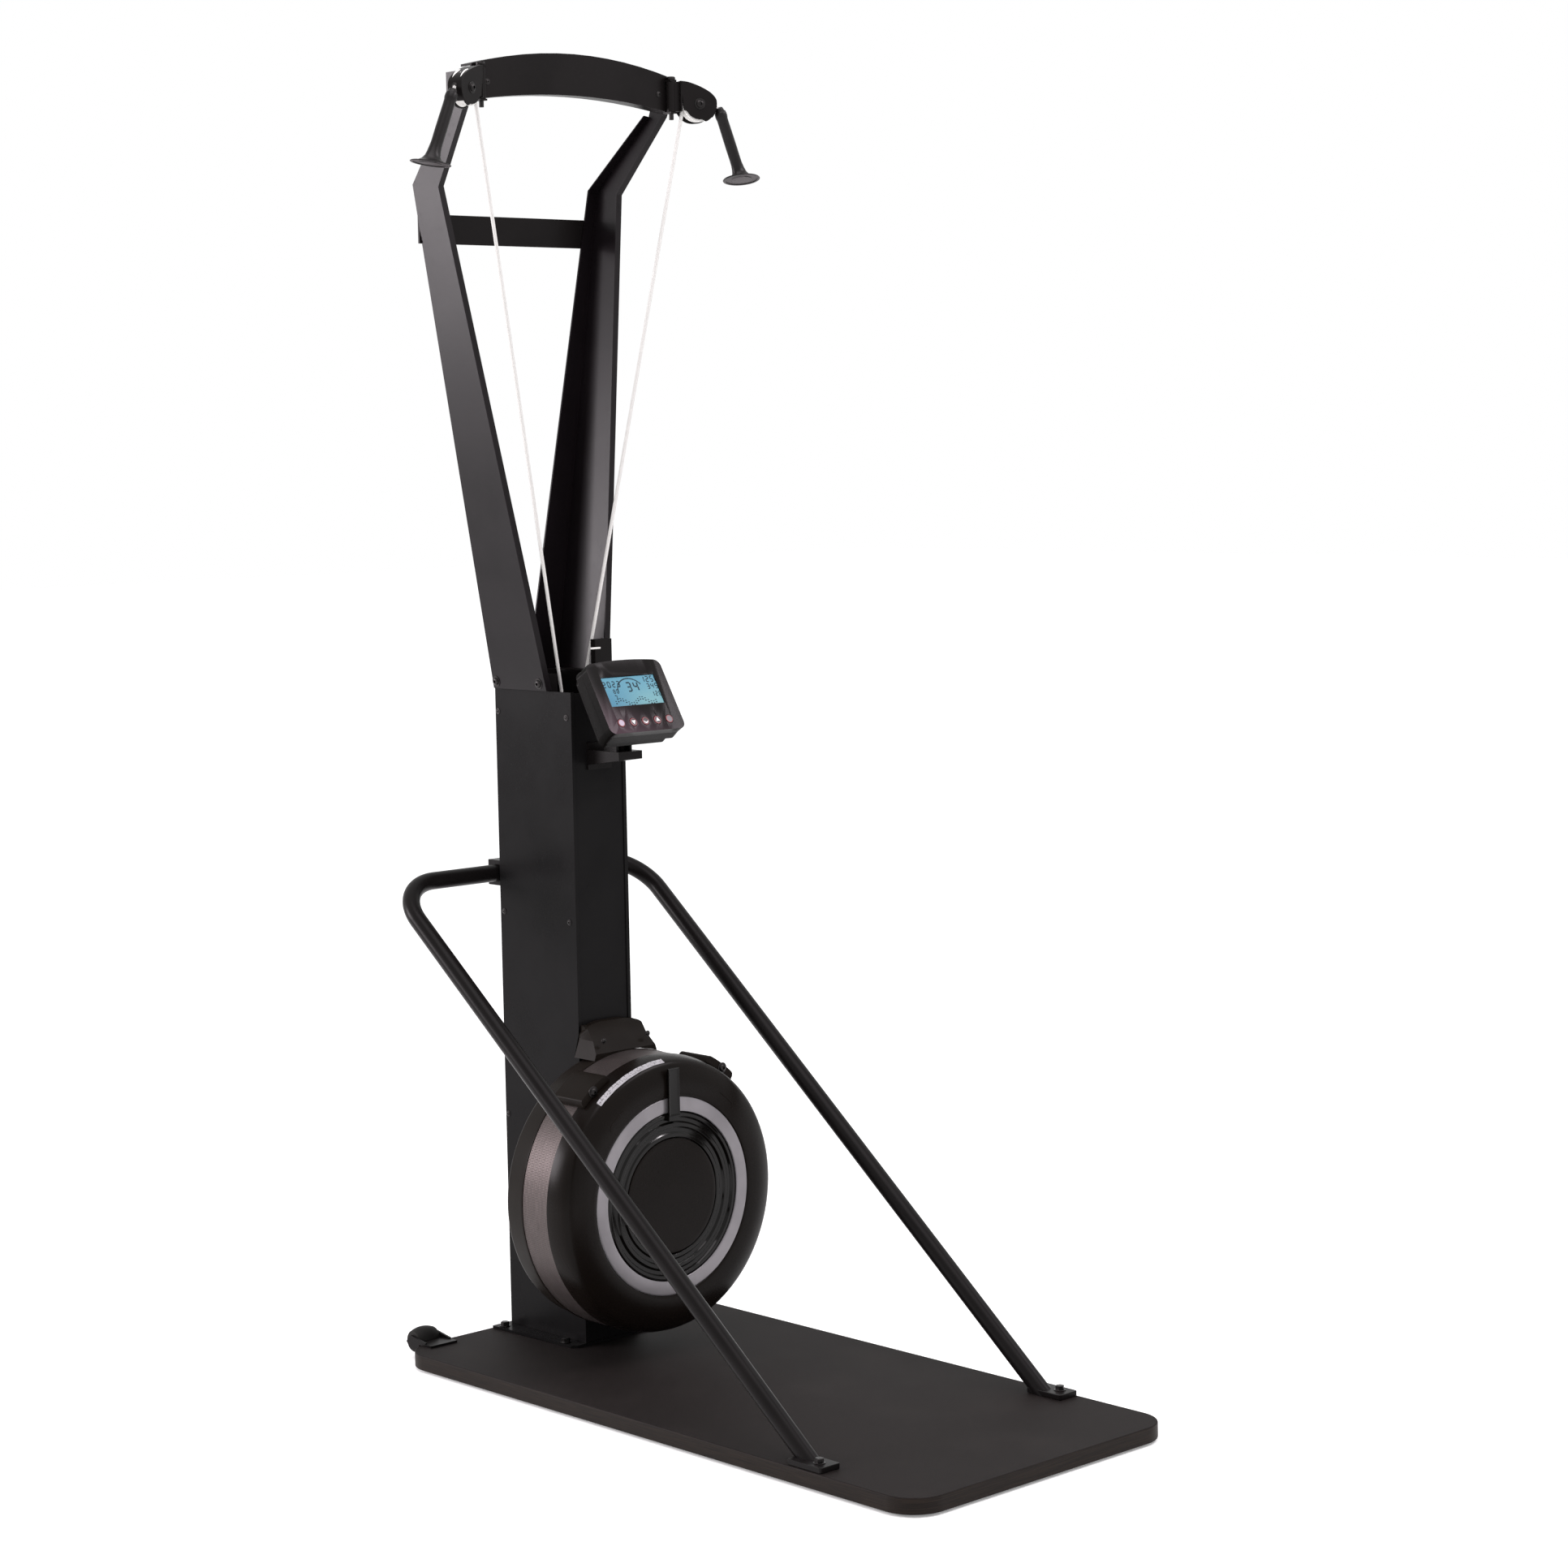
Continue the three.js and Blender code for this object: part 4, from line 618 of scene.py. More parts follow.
# %% Rubber
def rubber(name, color, rough):
    paint = Paint(name, color, rough, Specular_IOR_Level=0.15)
    grit = paint.noise(900, 3)
    dust = paint.noise(35, 4)
    paint.set("Base Color", paint.mix(dust.ramp(0.5, 0.8, 0, 0.5), color, (0.022, 0.02, 0.018)))
    paint.set("Roughness", rough + (grit - 0.5) * 0.15)
    paint.bump(grit, 0.08)
    return paint.material


foot_rubber = rubber("foot_rubber", (0.006, 0.006, 0.006), 0.8)
wheel_rubber = rubber("wheel_rubber", (0.008, 0.0075, 0.007), 0.6)
print("rubbers made")

# %% [markdown]
# ## Braid
# Each cord is braided from thin white strands. Two families of strands cross at a slant, and
# the map of the tube, around and along, says where a point lies in that braid. The low
# places between the strands are painted darker, as painted shade.

# %% Braided cord
def braid(name, light, dark, pitch, around):
    """A braid on a tube's own map, with painted shade in its low places; pitch and the way around the tube
    are in mm.
    """
    paint = Paint(name, light, 0.75)
    chart = paint.node("ShaderNodeUVMap", {"uv_map": "along"}, {})
    across, ahead, _ = paint.axes(chart)
    strands = round(around / pitch)
    turn = across * (2 * math.pi * strands / (around * MM))
    run = ahead * (2 * math.pi / (pitch * MM))
    weave = (turn + run).math("SINE") * (turn - run).math("SINE")
    height = weave.ramp(-1, 1)
    fuzz = paint.noise(2500, 2)
    # Painted shade: the weave's low places, between the strands, take the dark colour.
    paint.set("Base Color", paint.mix(height.ramp(0.15, 0.6), dark, light))
    paint.set("Roughness", 0.68 + fuzz * 0.15)
    paint.bump(height + fuzz * 0.3, 0.3)
    return paint.material


# The second colour of each cord is the painted shade between its strands.
white_cord = braid("white_cord", (0.74, 0.73, 0.71), (0.36, 0.35, 0.34), 1.9, 2 * math.pi * 3)
elastic_cord = braid("elastic_cord", (0.05, 0.05, 0.05), (0.012, 0.012, 0.012), 2.2, 2 * math.pi * 4)
for run, pull in cords.values():
    run.data.materials.append(white_cord)
    pull.data.materials.append(white_cord)
print("materials:", len(bpy.data.materials))

# %% [markdown]
# ## The board and its feet
# The board starts as a flat rectangle. Its four corners are rounded first, then it is
# extruded to its thickness, and last its rims are eased, as a router does it. Its top gets
# the pebbled face and everything else the cut edge.

# %% Board
low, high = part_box("platform_board")
board_corner = 60 * MM
bpy.ops.object.select_all(action="DESELECT")
bpy.ops.mesh.primitive_plane_add(size=1, location=(0, 0, low.z), scale=(1, 1, 1))
board = bpy.context.object
board.scale = (high.x - low.x, high.y - low.y, 1)
bpy.ops.object.transform_apply(location=True, rotation=True, scale=True)
edit(board)
bpy.ops.mesh.bevel(offset=board_corner, segments=16, affect="VERTICES")
bpy.ops.mesh.select_all(action="SELECT")
bpy.ops.mesh.extrude_region_move(TRANSFORM_OT_translate={"value": (0, 0, high.z - low.z)})
leave_edit()
bevel(board, 2.2 * MM, 3)
settle(board, "board", "frame", (board_face, board_edge))
for face in board.data.polygons:
    face.material_index = 0 if face.normal.z > 0.6 else 1
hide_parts("platform_board")
print("board:", len(board.data.polygons), "faces")

# %% [markdown]
# Many pieces are sheet metal or blocks whose solid already has the right form. Such a piece
# is a copy of its solid: points that coincide are merged, and triangles that lie in one
# plane become one face again. Its edges are rounded by about a micron only, which is far too
# thin to show, so to the eye they are sharp.

# %% Refining a solid
MICRON = MM * MM
merge_gap = 0.005 * MM
same_plane = math.radians(0.4)


def body_of(node):
    return frame["nodes"][node]["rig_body"]


def copy_of_solid(node, name):
    """A copy of a solid, merged to flat faces and left open in edit mode."""
    piece = bpy.data.objects.new(name, frame["nodes"][node].data.copy())
    bpy.context.scene.collection.objects.link(piece)
    edit(piece)
    bpy.ops.mesh.remove_doubles(threshold=merge_gap)
    bpy.ops.mesh.dissolve_limited(angle_limit=same_plane)
    return piece


def refined(node, name, look, edge, segments=2, angle=35):
    """A copy of a solid with its triangles joined to flat faces; edge is its rounding in microns."""
    piece = copy_of_solid(node, name)
    leave_edit()
    bevel(piece, edge * MICRON, segments, angle)
    settle(piece, name, body_of(node), look, angle)
    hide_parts(node)
    return piece


for row in ("front", "middle", "rear"):
    refined(f"foot_strip_{row}", f"foot_{row}", foot_rubber, 0.8)
print("feet made")

# %% [markdown]
# ## The column
# A welded channel stands on a base plate. Two side covers and a front cover close it, and a
# block in its mouth holds the arms.

# %% Column
refined("column_base_plate", "base_plate", powder_column, 0.9)
refined("column_frame", "column_channel", powder_column, 0.6)
refined("column_front_cover", "front_cover", powder_column, 0.6)
for side in sides_of:
    refined(f"side_cover_{side}", f"column_side_{side}", powder_column, 1.1, 3)
refined("arm_mount_block", "mount_block", powder_black, 1.5)
print("column made")

# %% [markdown]
# ## Arms and beams
# Each arm is one folded sheet: a web on the outside, a flange behind and a lip in front.

# %% Arms, crossbar and arch
for side in sides_of:
    refined(f"arm_{side}", f"arm_sheet_{side}", powder_arm, 1.1, 3, 30)
refined("lower_crossbar", "crossbar", powder_black, 0.9)
refined("top_arch_beam", "arch_beam", powder_black, 0.9, 2, 40)
print("arms and beams made")

# %% [markdown]
# ## Turned parts
# Everything round is turned, as on a lathe: a line of points is drawn beside an axis and
# spun about it once. Parts that are made of several pieces are joined to one.

# %% Turning and joining
def new_mesh(name, points, edges=(), faces=()):
    mesh = bpy.data.meshes.new(name)
    mesh.from_pydata([Vector(p) for p in points], edges, faces)
    piece = bpy.data.objects.new(name, mesh)
    bpy.context.scene.collection.objects.link(piece)
    return piece


def turned(profile, centre, axis, steps=96, edge=0.0, segments=2, closed=True, angle=35):
    """Spins a drawn line of (radius, place along the axis) points, in mm, round an axis."""
    axis = Vector(axis).normalized()
    outward = axis.orthogonal().normalized()
    points = [Vector(centre) + outward * r * MM + axis * h * MM for r, h in profile]
    edges = [(i, i + 1) for i in range(len(points) - 1)]
    if closed:
        edges.append((len(points) - 1, 0))
    piece = new_mesh("turned", points, edges)
    work_on(piece)
    bpy.ops.object.mode_set(mode="EDIT")
    bpy.ops.mesh.select_all(action="SELECT")
    bpy.ops.mesh.spin(steps=steps, angle=2 * math.pi, center=centre, axis=axis)
    bpy.ops.mesh.select_all(action="SELECT")
    bpy.ops.mesh.remove_doubles(threshold=merge_gap)
    bpy.ops.mesh.normals_make_consistent(inside=False)
    leave_edit()
    return bevel(piece, edge * MM, segments, angle) if edge else piece


def joined(parts):
    """All the parts as one piece, under the first one's name."""
    work_on(parts[0])
    for one in parts:
        one.select_set(True)
    bpy.ops.object.join()
    return parts[0]

# %% [markdown]
# ## Bolts
# Three heads are enough for the whole machine. Each is drawn once, standing on the origin
# and pointing up, and copied to its places.

# %% Bolt patterns
def six_sided(radius, height, middle):
    """A hexagonal prism on the Z axis, in mm; middle is its middle's height."""
    bpy.ops.object.select_all(action="DESELECT")
    bpy.ops.mesh.primitive_cylinder_add(vertices=6, radius=radius * MM, depth=height * MM,
                                        location=(0, 0, middle * MM))
    return bpy.context.object


def round_head(radius, height, socket):
    """A domed head with a hexagon socket, on a thin washer."""
    profile = [(0, 0), (radius * 1.45, 0), (radius * 1.45, 1), (radius, 1), (radius, height * 0.55),
               (radius * 0.82, height * 0.88), (radius * 0.55, height), (0, height)]
    head = turned(profile, (0, 0, 0), (0, 0, 1), 32, 0.25, 1, False)
    key = six_sided(socket, height * 1.2, height * 1.1)
    work_on(head)
    cut = head.modifiers.new("socket", "BOOLEAN")
    cut.object = key
    cut.operation = "DIFFERENCE"
    cut.solver = "EXACT"
    bpy.ops.object.modifier_apply(modifier=cut.name)
    bpy.data.objects.remove(key)
    return head


def hex_head(radius, height, washer=1.2):
    """A hexagon head with a chamfered top on a washer."""
    profile = [(0, 0), (radius * 1.3, 0), (radius * 1.3, washer), (0, washer)]
    head = turned(profile, (0, 0, 0), (0, 0, 1), 32, 0.25, 1, False)
    nut = six_sided(radius, height, washer + height / 2)
    edit(nut, lambda face: face.normal.z > 0.5)
    bpy.ops.mesh.inset(thickness=0.16 * radius * MM)
    bpy.ops.transform.translate(value=(0, 0, 0.12 * radius * MM))
    leave_edit()
    return joined([head, nut])


bolts = {"socket": round_head(6.6, 4.4, 2.8), "small": round_head(3.6, 2.4, 1.5), "hex": hex_head(7.5, 6)}
print("bolt patterns:", ", ".join(bolts))

# %% [markdown]
# A bolt's place is its seat in mm, and it faces outward from the sheet that it holds. The
# arms' webs lean outward as they rise, so their bolts lean with them.

# %% Bolts on the frame
def bolt(kind, name, place, outward, body="frame"):
    """A copy of a bolt pattern, set at a place in mm facing outward."""
    piece = bpy.data.objects.new(name, bolts[kind].data.copy())
    bpy.context.scene.collection.objects.link(piece)
    facing = Vector(outward).to_track_quat("Z", "Y").to_matrix().to_4x4()
    piece.data.transform(Matrix.Translation(Vector(place) * MM) @ facing)
    return settle(piece, name, body, dark_steel)


web_slope = 0.15576
web_foot_x, web_foot_z = 69.5, 1156
web_lean = math.atan(web_slope)
for side, sign in sides_of.items():
    web_out = (sign * math.cos(web_lean), 0, -math.sin(web_lean))
    for k, (y, z) in enumerate(((581.6, 1168), (467.4, 1168))):
        web_x = web_foot_x + (z - web_foot_z) * web_slope
        bolt("socket", f"arm_bolt_{side}_{k}", (sign * web_x, y, z), web_out)
    for k, (y, z) in enumerate(((594, 1115), (411, 1112), (591, 767), (415, 763), (594, 410))):
        bolt("small", f"side_screw_{side}_{k}", (sign * 59.4, y, z), (sign, 0, 0))
    for k, (x, y) in enumerate(((80, 594), (77, 431))):
        bolt("hex", f"base_bolt_{side}_{k}", (sign * x, y, 35), (0, 0, 1))
    for k, z in enumerate((1922, 1948)):
        bolt("socket", f"crossbar_bolt_{side}_{k}", (sign * 178, 610.4, z), (0, 1, 0))
    bolt("small", f"arch_bolt_{side}", (sign * 186, 420, 2163), (0, -1, 0))
print("bolts on the frame made")

# %% [markdown]
# ## Pulley hoods
# At each end of the arch a hood swings on an upright pin and carries a nylon pulley between
# two cheeks. A cheek is an outline, drawn as a smooth curve and extruded to a plate.

# %% Outlines and plates
def plate(outline, origin, across, up, thickness, edge=0.0, segments=2):
    """An outline drawn in mm on the plane of two directions, extruded by the thickness."""
    across, up = Vector(across), Vector(up)
    points = [Vector(origin) + across * a * MM + up * b * MM for a, b in outline]
    piece = new_mesh("plate", points, faces=[range(len(points))])
    edit(piece)
    pull = across.cross(up).normalized() * thickness * MM
    bpy.ops.mesh.extrude_region_move(TRANSFORM_OT_translate={"value": pull})
    bpy.ops.mesh.select_all(action="SELECT")
    bpy.ops.mesh.normals_make_consistent(inside=False)
    leave_edit()
    return bevel(piece, edge * MM, segments) if edge else piece


def eased(rows, steps):
    """More rows between the given ones, on one smooth curve through them."""
    made = []
    for k in range(len(rows) - 1):
        before, start = rows[max(k - 1, 0)], rows[k]
        end, after = rows[k + 1], rows[min(k + 2, len(rows) - 1)]
        for i in range(steps):
            t = i / steps
            made.append([0.5 * (2 * b + (c - a) * t + (2 * a - 5 * b + 4 * c - d) * t * t
                                + (3 * b - a - 3 * c + d) * t ** 3)
                         for a, b, c, d in zip(before, start, end, after)])
    return made + [list(rows[-1])]


def offset(line, out):
    """The line moved sideways by the same amount everywhere."""
    moved = []
    for k, (a, b) in enumerate(line):
        (a0, b0), (a1, b1) = line[max(k - 1, 0)], line[min(k + 1, len(line) - 1)]
        size = math.hypot(a1 - a0, b1 - b0)
        moved.append((a - (b1 - b0) / size * out, b + (a1 - a0) / size * out))
    return moved

# %% [markdown]
# The hood's outline is given in shares of its length and height, outward from its wall and
# up from the pulley's axle. The near cheek is cut back round the axle, and a thin roof
# follows the upper part of the outline.

# %% Hood outlines
hood_rim_shares = ((0, 1), (0.2, 0.965), (0.412, 0.858), (0.641, 0.703), (0.82, 0.53), (0.94, 0.345),
                   (1, 0.162), (1, -0.108), (0.962, -0.351), (0.9, -0.54), (0.809, -0.703),
                   (0.71, -0.8), (0.595, -0.851), (0.382, -0.865), (0.183, -0.73), (0, -0.365))
hood_wall, hood_length, hood_height = 13, 65.5, 37
hood_half_gap, hood_sheet = 10, 3
hood_half = hood_half_gap + hood_sheet
barrel_foot, barrel_top = 2133.5 - 2147, 2184 - 2147
rim = eased([(hood_wall + hood_length * o, hood_height * u) for o, u in hood_rim_shares], 3)
near_reach, near_middle, near_half = 26.5, -115, 36


def cut_back(outline):
    """The near cheek's outline, cut back under the axle so that the pulley shows there."""
    cut = []
    for out, up in outline:
        out -= axle_reach / MM
        turn = math.atan2(up, out)
        beyond = max(0, abs(math.degrees(turn) - near_middle) - near_half)
        reach = min(math.hypot(out, up), near_reach + 0.6 * beyond)
        cut.append((axle_reach / MM + reach * math.cos(turn), reach * math.sin(turn)))
    return cut


roof_line = rim[:29]
roof = offset(roof_line, 1) + offset(roof_line, -0.2)[::-1]
print("hood outline:", len(rim), "points, roof:", len(roof))

# %% [markdown]
# One hood is seven parts joined: two cheeks, the roof, the wall behind the pulley, the neck,
# the barrel on the hinge pin, and the pulley's axle. A plate's thickness grows to one side
# of its drawing, and on the mirrored hood that side changes, so its sign is worked out.

# %% Hood cover
def hood_axes(sign):
    """The hood's middle on its hinge, its direction outward and its direction across."""
    origin = Vector((sign * hinge.x, hinge.y, axle_height))
    along = Vector((sign * hood_along.x, hood_along.y, 0))
    across = Vector((sign * hood_across.x, hood_across.y, 0))
    return origin, along, across


def cheeks(origin, along, across, facing):
    made = []
    for lift in (hood_half_gap, -hood_half_gap - hood_sheet):
        outline = rim if lift > 0 else cut_back(rim)
        made.append(plate(outline, origin + across * lift * MM, along, (0, 0, 1), hood_sheet, 0.9))
        if facing < 0:
            made[-1].data.transform(Matrix.Translation(across * hood_sheet * MM))
    return made


def upright(out, half, low, high, origin, along, across, edge):
    """A plate that stands from low to high, from the first to the second distance outward."""
    outline = [(out[0], -half), (out[1], -half), (out[1], half), (out[0], half)]
    upward = 1 if along.cross(across).z > 0 else -1
    return plate(outline, origin + Vector((0, 0, low * MM)), along, across, (high - low) * upward, edge)


def hood_cover(side, sign):
    origin, along, across = hood_axes(sign)
    facing = along.cross(Vector((0, 0, 1))).dot(across)
    wall = (hood_wall, hood_wall + hood_sheet)
    parts = cheeks(origin, along, across, facing)
    parts.append(plate(roof, origin - across * hood_half * facing * MM, along, (0, 0, 1),
                       2 * hood_half, 0.4))
    parts.append(upright(wall, hood_half, barrel_foot, barrel_top - 0.3, origin, along, across, 0.8))
    parts.append(upright((0, wall[1]), 7, barrel_foot, barrel_top, origin, along, across, 1.2))
    barrel = [(4.3, barrel_foot), (8, barrel_foot), (8, barrel_top), (4.3, barrel_top)]
    parts.append(turned(barrel, origin, (0, 0, 1), 40, 0.7))
    axle = [(0, -hood_half - 1), (5, -hood_half - 1), (5, hood_half + 1), (0, hood_half + 1)]
    parts.append(turned(axle, origin + along * axle_reach, across, 32, 0.4, 2, False))
    cover = settle(joined(parts), f"hood_{side}_cover", f"hood_{side}", powder_black)
    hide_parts(f"pulley_hood_{side}")

# %% [markdown]
# Two bolts hold the pulley's axle and a small one closes the hood's tip. The hood turns on
# its hinge pin, which stays with the frame, and so the pin is a piece of its own.

# %% Hood bolts and hinge pin
def hood_bolts(side, sign):
    origin, along, across = hood_axes(sign)
    axle = origin + along * axle_reach
    for k, away in enumerate((1, -1)):
        seat = (axle + across * away * hood_half * MM) / MM
        bolt("socket", f"hood_bolt_{side}_{k}", seat, across * away, f"hood_{side}")
    end = (origin / MM) + along * (hood_wall + hood_length + 1) + Vector((0, 0, 1))
    bolt("small", f"hood_end_bolt_{side}", end, along, f"hood_{side}")


def hinge_pin(side, sign):
    head_foot = 2184 + 3 + 0.6
    profile = [(0, 2119.5), (3.4, 2119.5), (4, 2120.4), (4, head_foot), (8, head_foot),
               (8, head_foot + 3.4), (6.6, head_foot + 4.9), (0, head_foot + 4.9)]
    pin = turned(profile, (sign * hinge.x, hinge.y, 0), (0, 0, 1), 40, 0.3, 2, False)
    settle(pin, f"hinge_{side}", "frame", dark_steel)
    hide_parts(f"hinge_pin_{side}")

# %% [markdown]
# The pulley's groove is round, as the cord has to lie in it. With it, everything of a hood is
# at hand, and the loop below makes the left hood and then the right one.

# %% Pulleys, and both hoods
def groove_line(core, radius, half, step):
    """A cord's round groove from one side to the other; core is the radius at its bottom."""
    return [(core + radius - radius * math.sin(math.radians(a)), -half * math.cos(math.radians(a)))
            for a in range(0, 181, step)]


def cord_pulley(side, sign):
    origin, along, across = hood_axes(sign)
    flange, width = 30, 8.5
    profile = [(5.3, -width), (11, -width), (12, -width + 1.6), (22, -width + 1.6), (23.5, -width),
               (flange - 1, -width), (flange, -width + 1), *groove_line(21.3, 6.5, 6.2, 15),
               (flange, width - 1), (flange - 1, width), (23.5, width), (22, width - 1.6),
               (12, width - 1.6), (11, width), (5.3, width)]
    wheel = turned(profile, origin + along * axle_reach, across, 64, 0.3)
    settle(wheel, f"pulley_{side}_wheel", f"pulley_{side}", white_nylon)
    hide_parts(f"cord_pulley_{side}")


for side, sign in sides_of.items():
    for step in (hood_cover, hood_bolts, hinge_pin, cord_pulley):
        step(side, sign)
print("hoods and pulleys made")

# %% [markdown]
# ## Handles
# A handle is a slim grip that flares into a flat oval foot, set askew to the grip. It grows
# from its head: the first ring is a face, and each next ring is that face extruded and moved.

# %% Growing a skin
def grow(rings):
    """A closed skin: the first ring is a face, and each next ring is that face extruded and moved."""
    bpy.ops.object.select_all(action="DESELECT")
    bpy.ops.mesh.primitive_circle_add(vertices=len(rings[0]), radius=1, fill_type="NGON")
    piece = bpy.context.object
    edit(piece)
    for k, ring in enumerate(rings):
        if k:
            bpy.ops.mesh.extrude_region_move(TRANSFORM_OT_translate={"value": (0, 0, 0)})
        sheet = bmesh.from_edit_mesh(piece.data)
        cap = next(face for face in sheet.faces if face.select)
        for vertex, point in zip(cap.verts, ring):
            vertex.co = point
        bmesh.update_edit_mesh(piece.data)
    leave_edit()
    return piece


def ring_of(centre, across, up, half_across, half_up, sides=32):
    """Points round an oval, in mm."""
    points = []
    for i in range(sides):
        turn = 2 * math.pi * i / sides
        a, b = math.cos(turn) * half_across, math.sin(turn) * half_up
        points.append(Vector(centre) + Vector(across) * a * MM + Vector(up) * b * MM)
    return points

# %% [markdown]
# Each row of the grip says how far down it is, as a share of the grip's length, how long and
# how broad the oval is in mm, and how much of the sole's slant it has. The sole is closed by
# smaller rings that step in and out again, which leaves a shallow groove in it.

# %% Handles
grip_rows = ((-0.07, 5.2, 5.2, 0), (-0.062, 6.6, 6.6, 0), (-0.02, 8, 8, 0), (-0.008, 9.6, 9.6, 0),
             (0.004, 9.9, 9.9, 0), (0.02, 10.3, 10.3, 0), (0.055, 10.6, 10.5, 0),
             (0.075, 10.3, 10.2, 0), (0.1, 9.6, 9.5, 0), (0.16, 9.5, 9.5, 0), (0.3, 9.7, 9.6, 0),
             (0.5, 10.1, 9.5, 0), (0.68, 10, 9.2, 0.03), (0.755, 10.35, 9.05, 0.2),
             (0.83, 11.6, 9.8, 0.42), (0.89, 13.5, 11.25, 0.7), (0.935, 17.5, 13.8, 0.9),
             (0.962, 23.5, 17.2, 0.98), (0.975, 30, 21.2, 1), (0.981, 35, 24.4, 1),
             (0.988, 36, 25, 1), (0.995, 35.8, 24.8, 1), (1, 34.6, 24, 1))
grip_length = (handle_foot - handle_top).length
sole_leans = {"left": (15.5, 0), "right": (23, 19)}
sole_steps = ((0.9, 0.0), (0.88, -1.6), (0.6, -1.6), (0.56, -0.4), (0.3, -0.4))
wide = Vector((0, 1, 0))
for side, sign in sides_of.items():
    top = mirrored(handle_top, sign)
    down = mirrored(pull_direction, sign)
    out = wide.cross(down) * -sign
    skew, tip = (math.tan(math.radians(lean)) for lean in sole_leans[side])
    rings = []
    for share, long, broad, skewed in grip_rows:
        ring = ring_of((0, 0, 0), out, wide, long, broad, 40)
        spot = top + down * share * grip_length
        rings.append([spot + p + down * (out.dot(p) * skew + wide.dot(p) * tip) * skewed for p in ring])
    sole = rings[-1]
    middle = sum(sole, Vector()) / len(sole)
    for inset, depth in sole_steps:
        rings.append([middle + (p - middle) * inset + down * depth * MM for p in sole])
    handle = settle(grow(rings), f"handle_{side}_grip", f"handle_{side}",
                    (handle_plastic, sole_plastic))
    sole_normal = (down + out * -skew + wide * -tip).normalized()
    for face in handle.data.polygons:
        under = (face.center - top).dot(down) > 0.9 * grip_length
        face.material_index = 1 if under and face.normal.dot(sole_normal) > 0.8 else 0
    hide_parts(f"handle_{side}")
print("handles made, grip", round(grip_length / MM), "mm")

# %% [markdown]
# ## Support bars
# A steel tube runs out from the column's clamp, bends and slants down to the board's front,
# where it stands on a bolted plate. The bend is an arc between two straight runs.

# %% Route of a support bar
bar_radius, bar_bend = 15, 85 * MM
bar_corner = Vector((270.3, 626.5, 830)) * MM
bar_foot = Vector((260.3, -370.2, 30)) * MM
slant = (bar_foot - bar_corner).normalized()
turn = Vector((1, 0, 0)).angle(slant)
setback = bar_bend * math.tan(turn / 2)
inward = (slant - Vector((slant.x, 0, 0))).normalized()
bend_centre = bar_corner + Vector((-setback, 0, 0)) + inward * bar_bend
bend_arc = [bend_centre - inward * bar_bend * math.cos(a) + Vector((bar_bend * math.sin(a), 0, 0))
            for a in (turn * i / 20 for i in range(21))]
bar_start = Vector((22, 626.5, 830)) * MM
bar_end = bar_foot - slant * 40 * MM
path = spread(bar_start, bend_arc[0], 3) + bend_arc + [bar_end]
print("bar's bend:", round(math.degrees(turn)), "degrees")

# %% [markdown]
# The plate under a bar is a rectangle with round corners. Its outline is four quarter arcs,
# one after the other.

# %% Arcs and rounded rectangles
def arc(centre, radius, start, end, steps):
    """Points of an arc in a drawing, in degrees from the first axis."""
    turns = [math.radians(start + (end - start) * i / steps) for i in range(steps + 1)]
    return [(centre[0] + radius * math.cos(t), centre[1] + radius * math.sin(t)) for t in turns]


def rounded(width, height, corner, steps=6):
    """A rectangle's outline with round corners, about its middle."""
    w, h = width / 2 - corner, height / 2 - corner
    points = []
    for k, (x, y) in enumerate(((w, h), (-w, h), (-w, -h), (w, -h))):
        points += arc((x, y), corner, 90 * k, 90 * k + 90, steps)
    return points

# %% [markdown]
# Rings are set round the route, each square to it. Where a ring's sideways direction would
# flip, it is turned back, so that the skin doesn't twist. The last ring slides down the slant
# to the board's level, and so the tube ends level on its plate.

# %% Support bars
bar_rings, previous = [], None
for k, point in enumerate(path):
    ahead = (path[min(k + 1, len(path) - 1)] - path[max(k - 1, 0)]).normalized()
    if k == len(path) - 1:
        ahead = slant
    level = Vector((0, 1, 0)) if k < 3 else ahead.cross(Vector((0, 0, 1)))
    level = (level - ahead * level.dot(ahead)).normalized()
    if previous is not None and level.dot(previous) < 0:
        level = -level
    previous = level
    bar_rings.append(ring_of(point, level, ahead.cross(level), bar_radius, bar_radius))
board_top = 30.6 * MM
bar_rings.append([p + slant * ((board_top - p.z) / slant.z) for p in bar_rings[-1]])
shoe_width, shoe_length, shoe_height = 42, 74, 9
shoe_middle = Vector((267.3, -381, 30.3)) * MM
for side, sign in sides_of.items():
    bar = grow([[mirrored(p, sign) for p in ring] for ring in bar_rings])
    shoe = plate(rounded(shoe_width, shoe_length, 4), mirrored(shoe_middle, sign), (1, 0, 0), (0, 1, 0),
                 shoe_height, 1.2)
    settle(joined([bar, shoe]), f"bar_{side}", "frame", powder_black)
    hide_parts(f"support_bar_{side}")
    bolt("hex", f"bar_bolt_{side}", (sign * 270, -396, shoe_middle.z / MM + shoe_height), (0, 0, 1))
refined("bar_clamp", "clamp", powder_black, 2)
for k, x in enumerate((-30, 30)):
    bolt("socket", f"clamp_bolt_{k}", (x, 649.5, 830), (0, 1, 0))
print("support bars made,", len(bar_rings), "rings each")

# %% [markdown]
# ## Transport wheels
# Two rubber wheels behind the board carry the machine when it is tipped back. The tread is
# slightly crowned, so the profile's middle is its widest part.

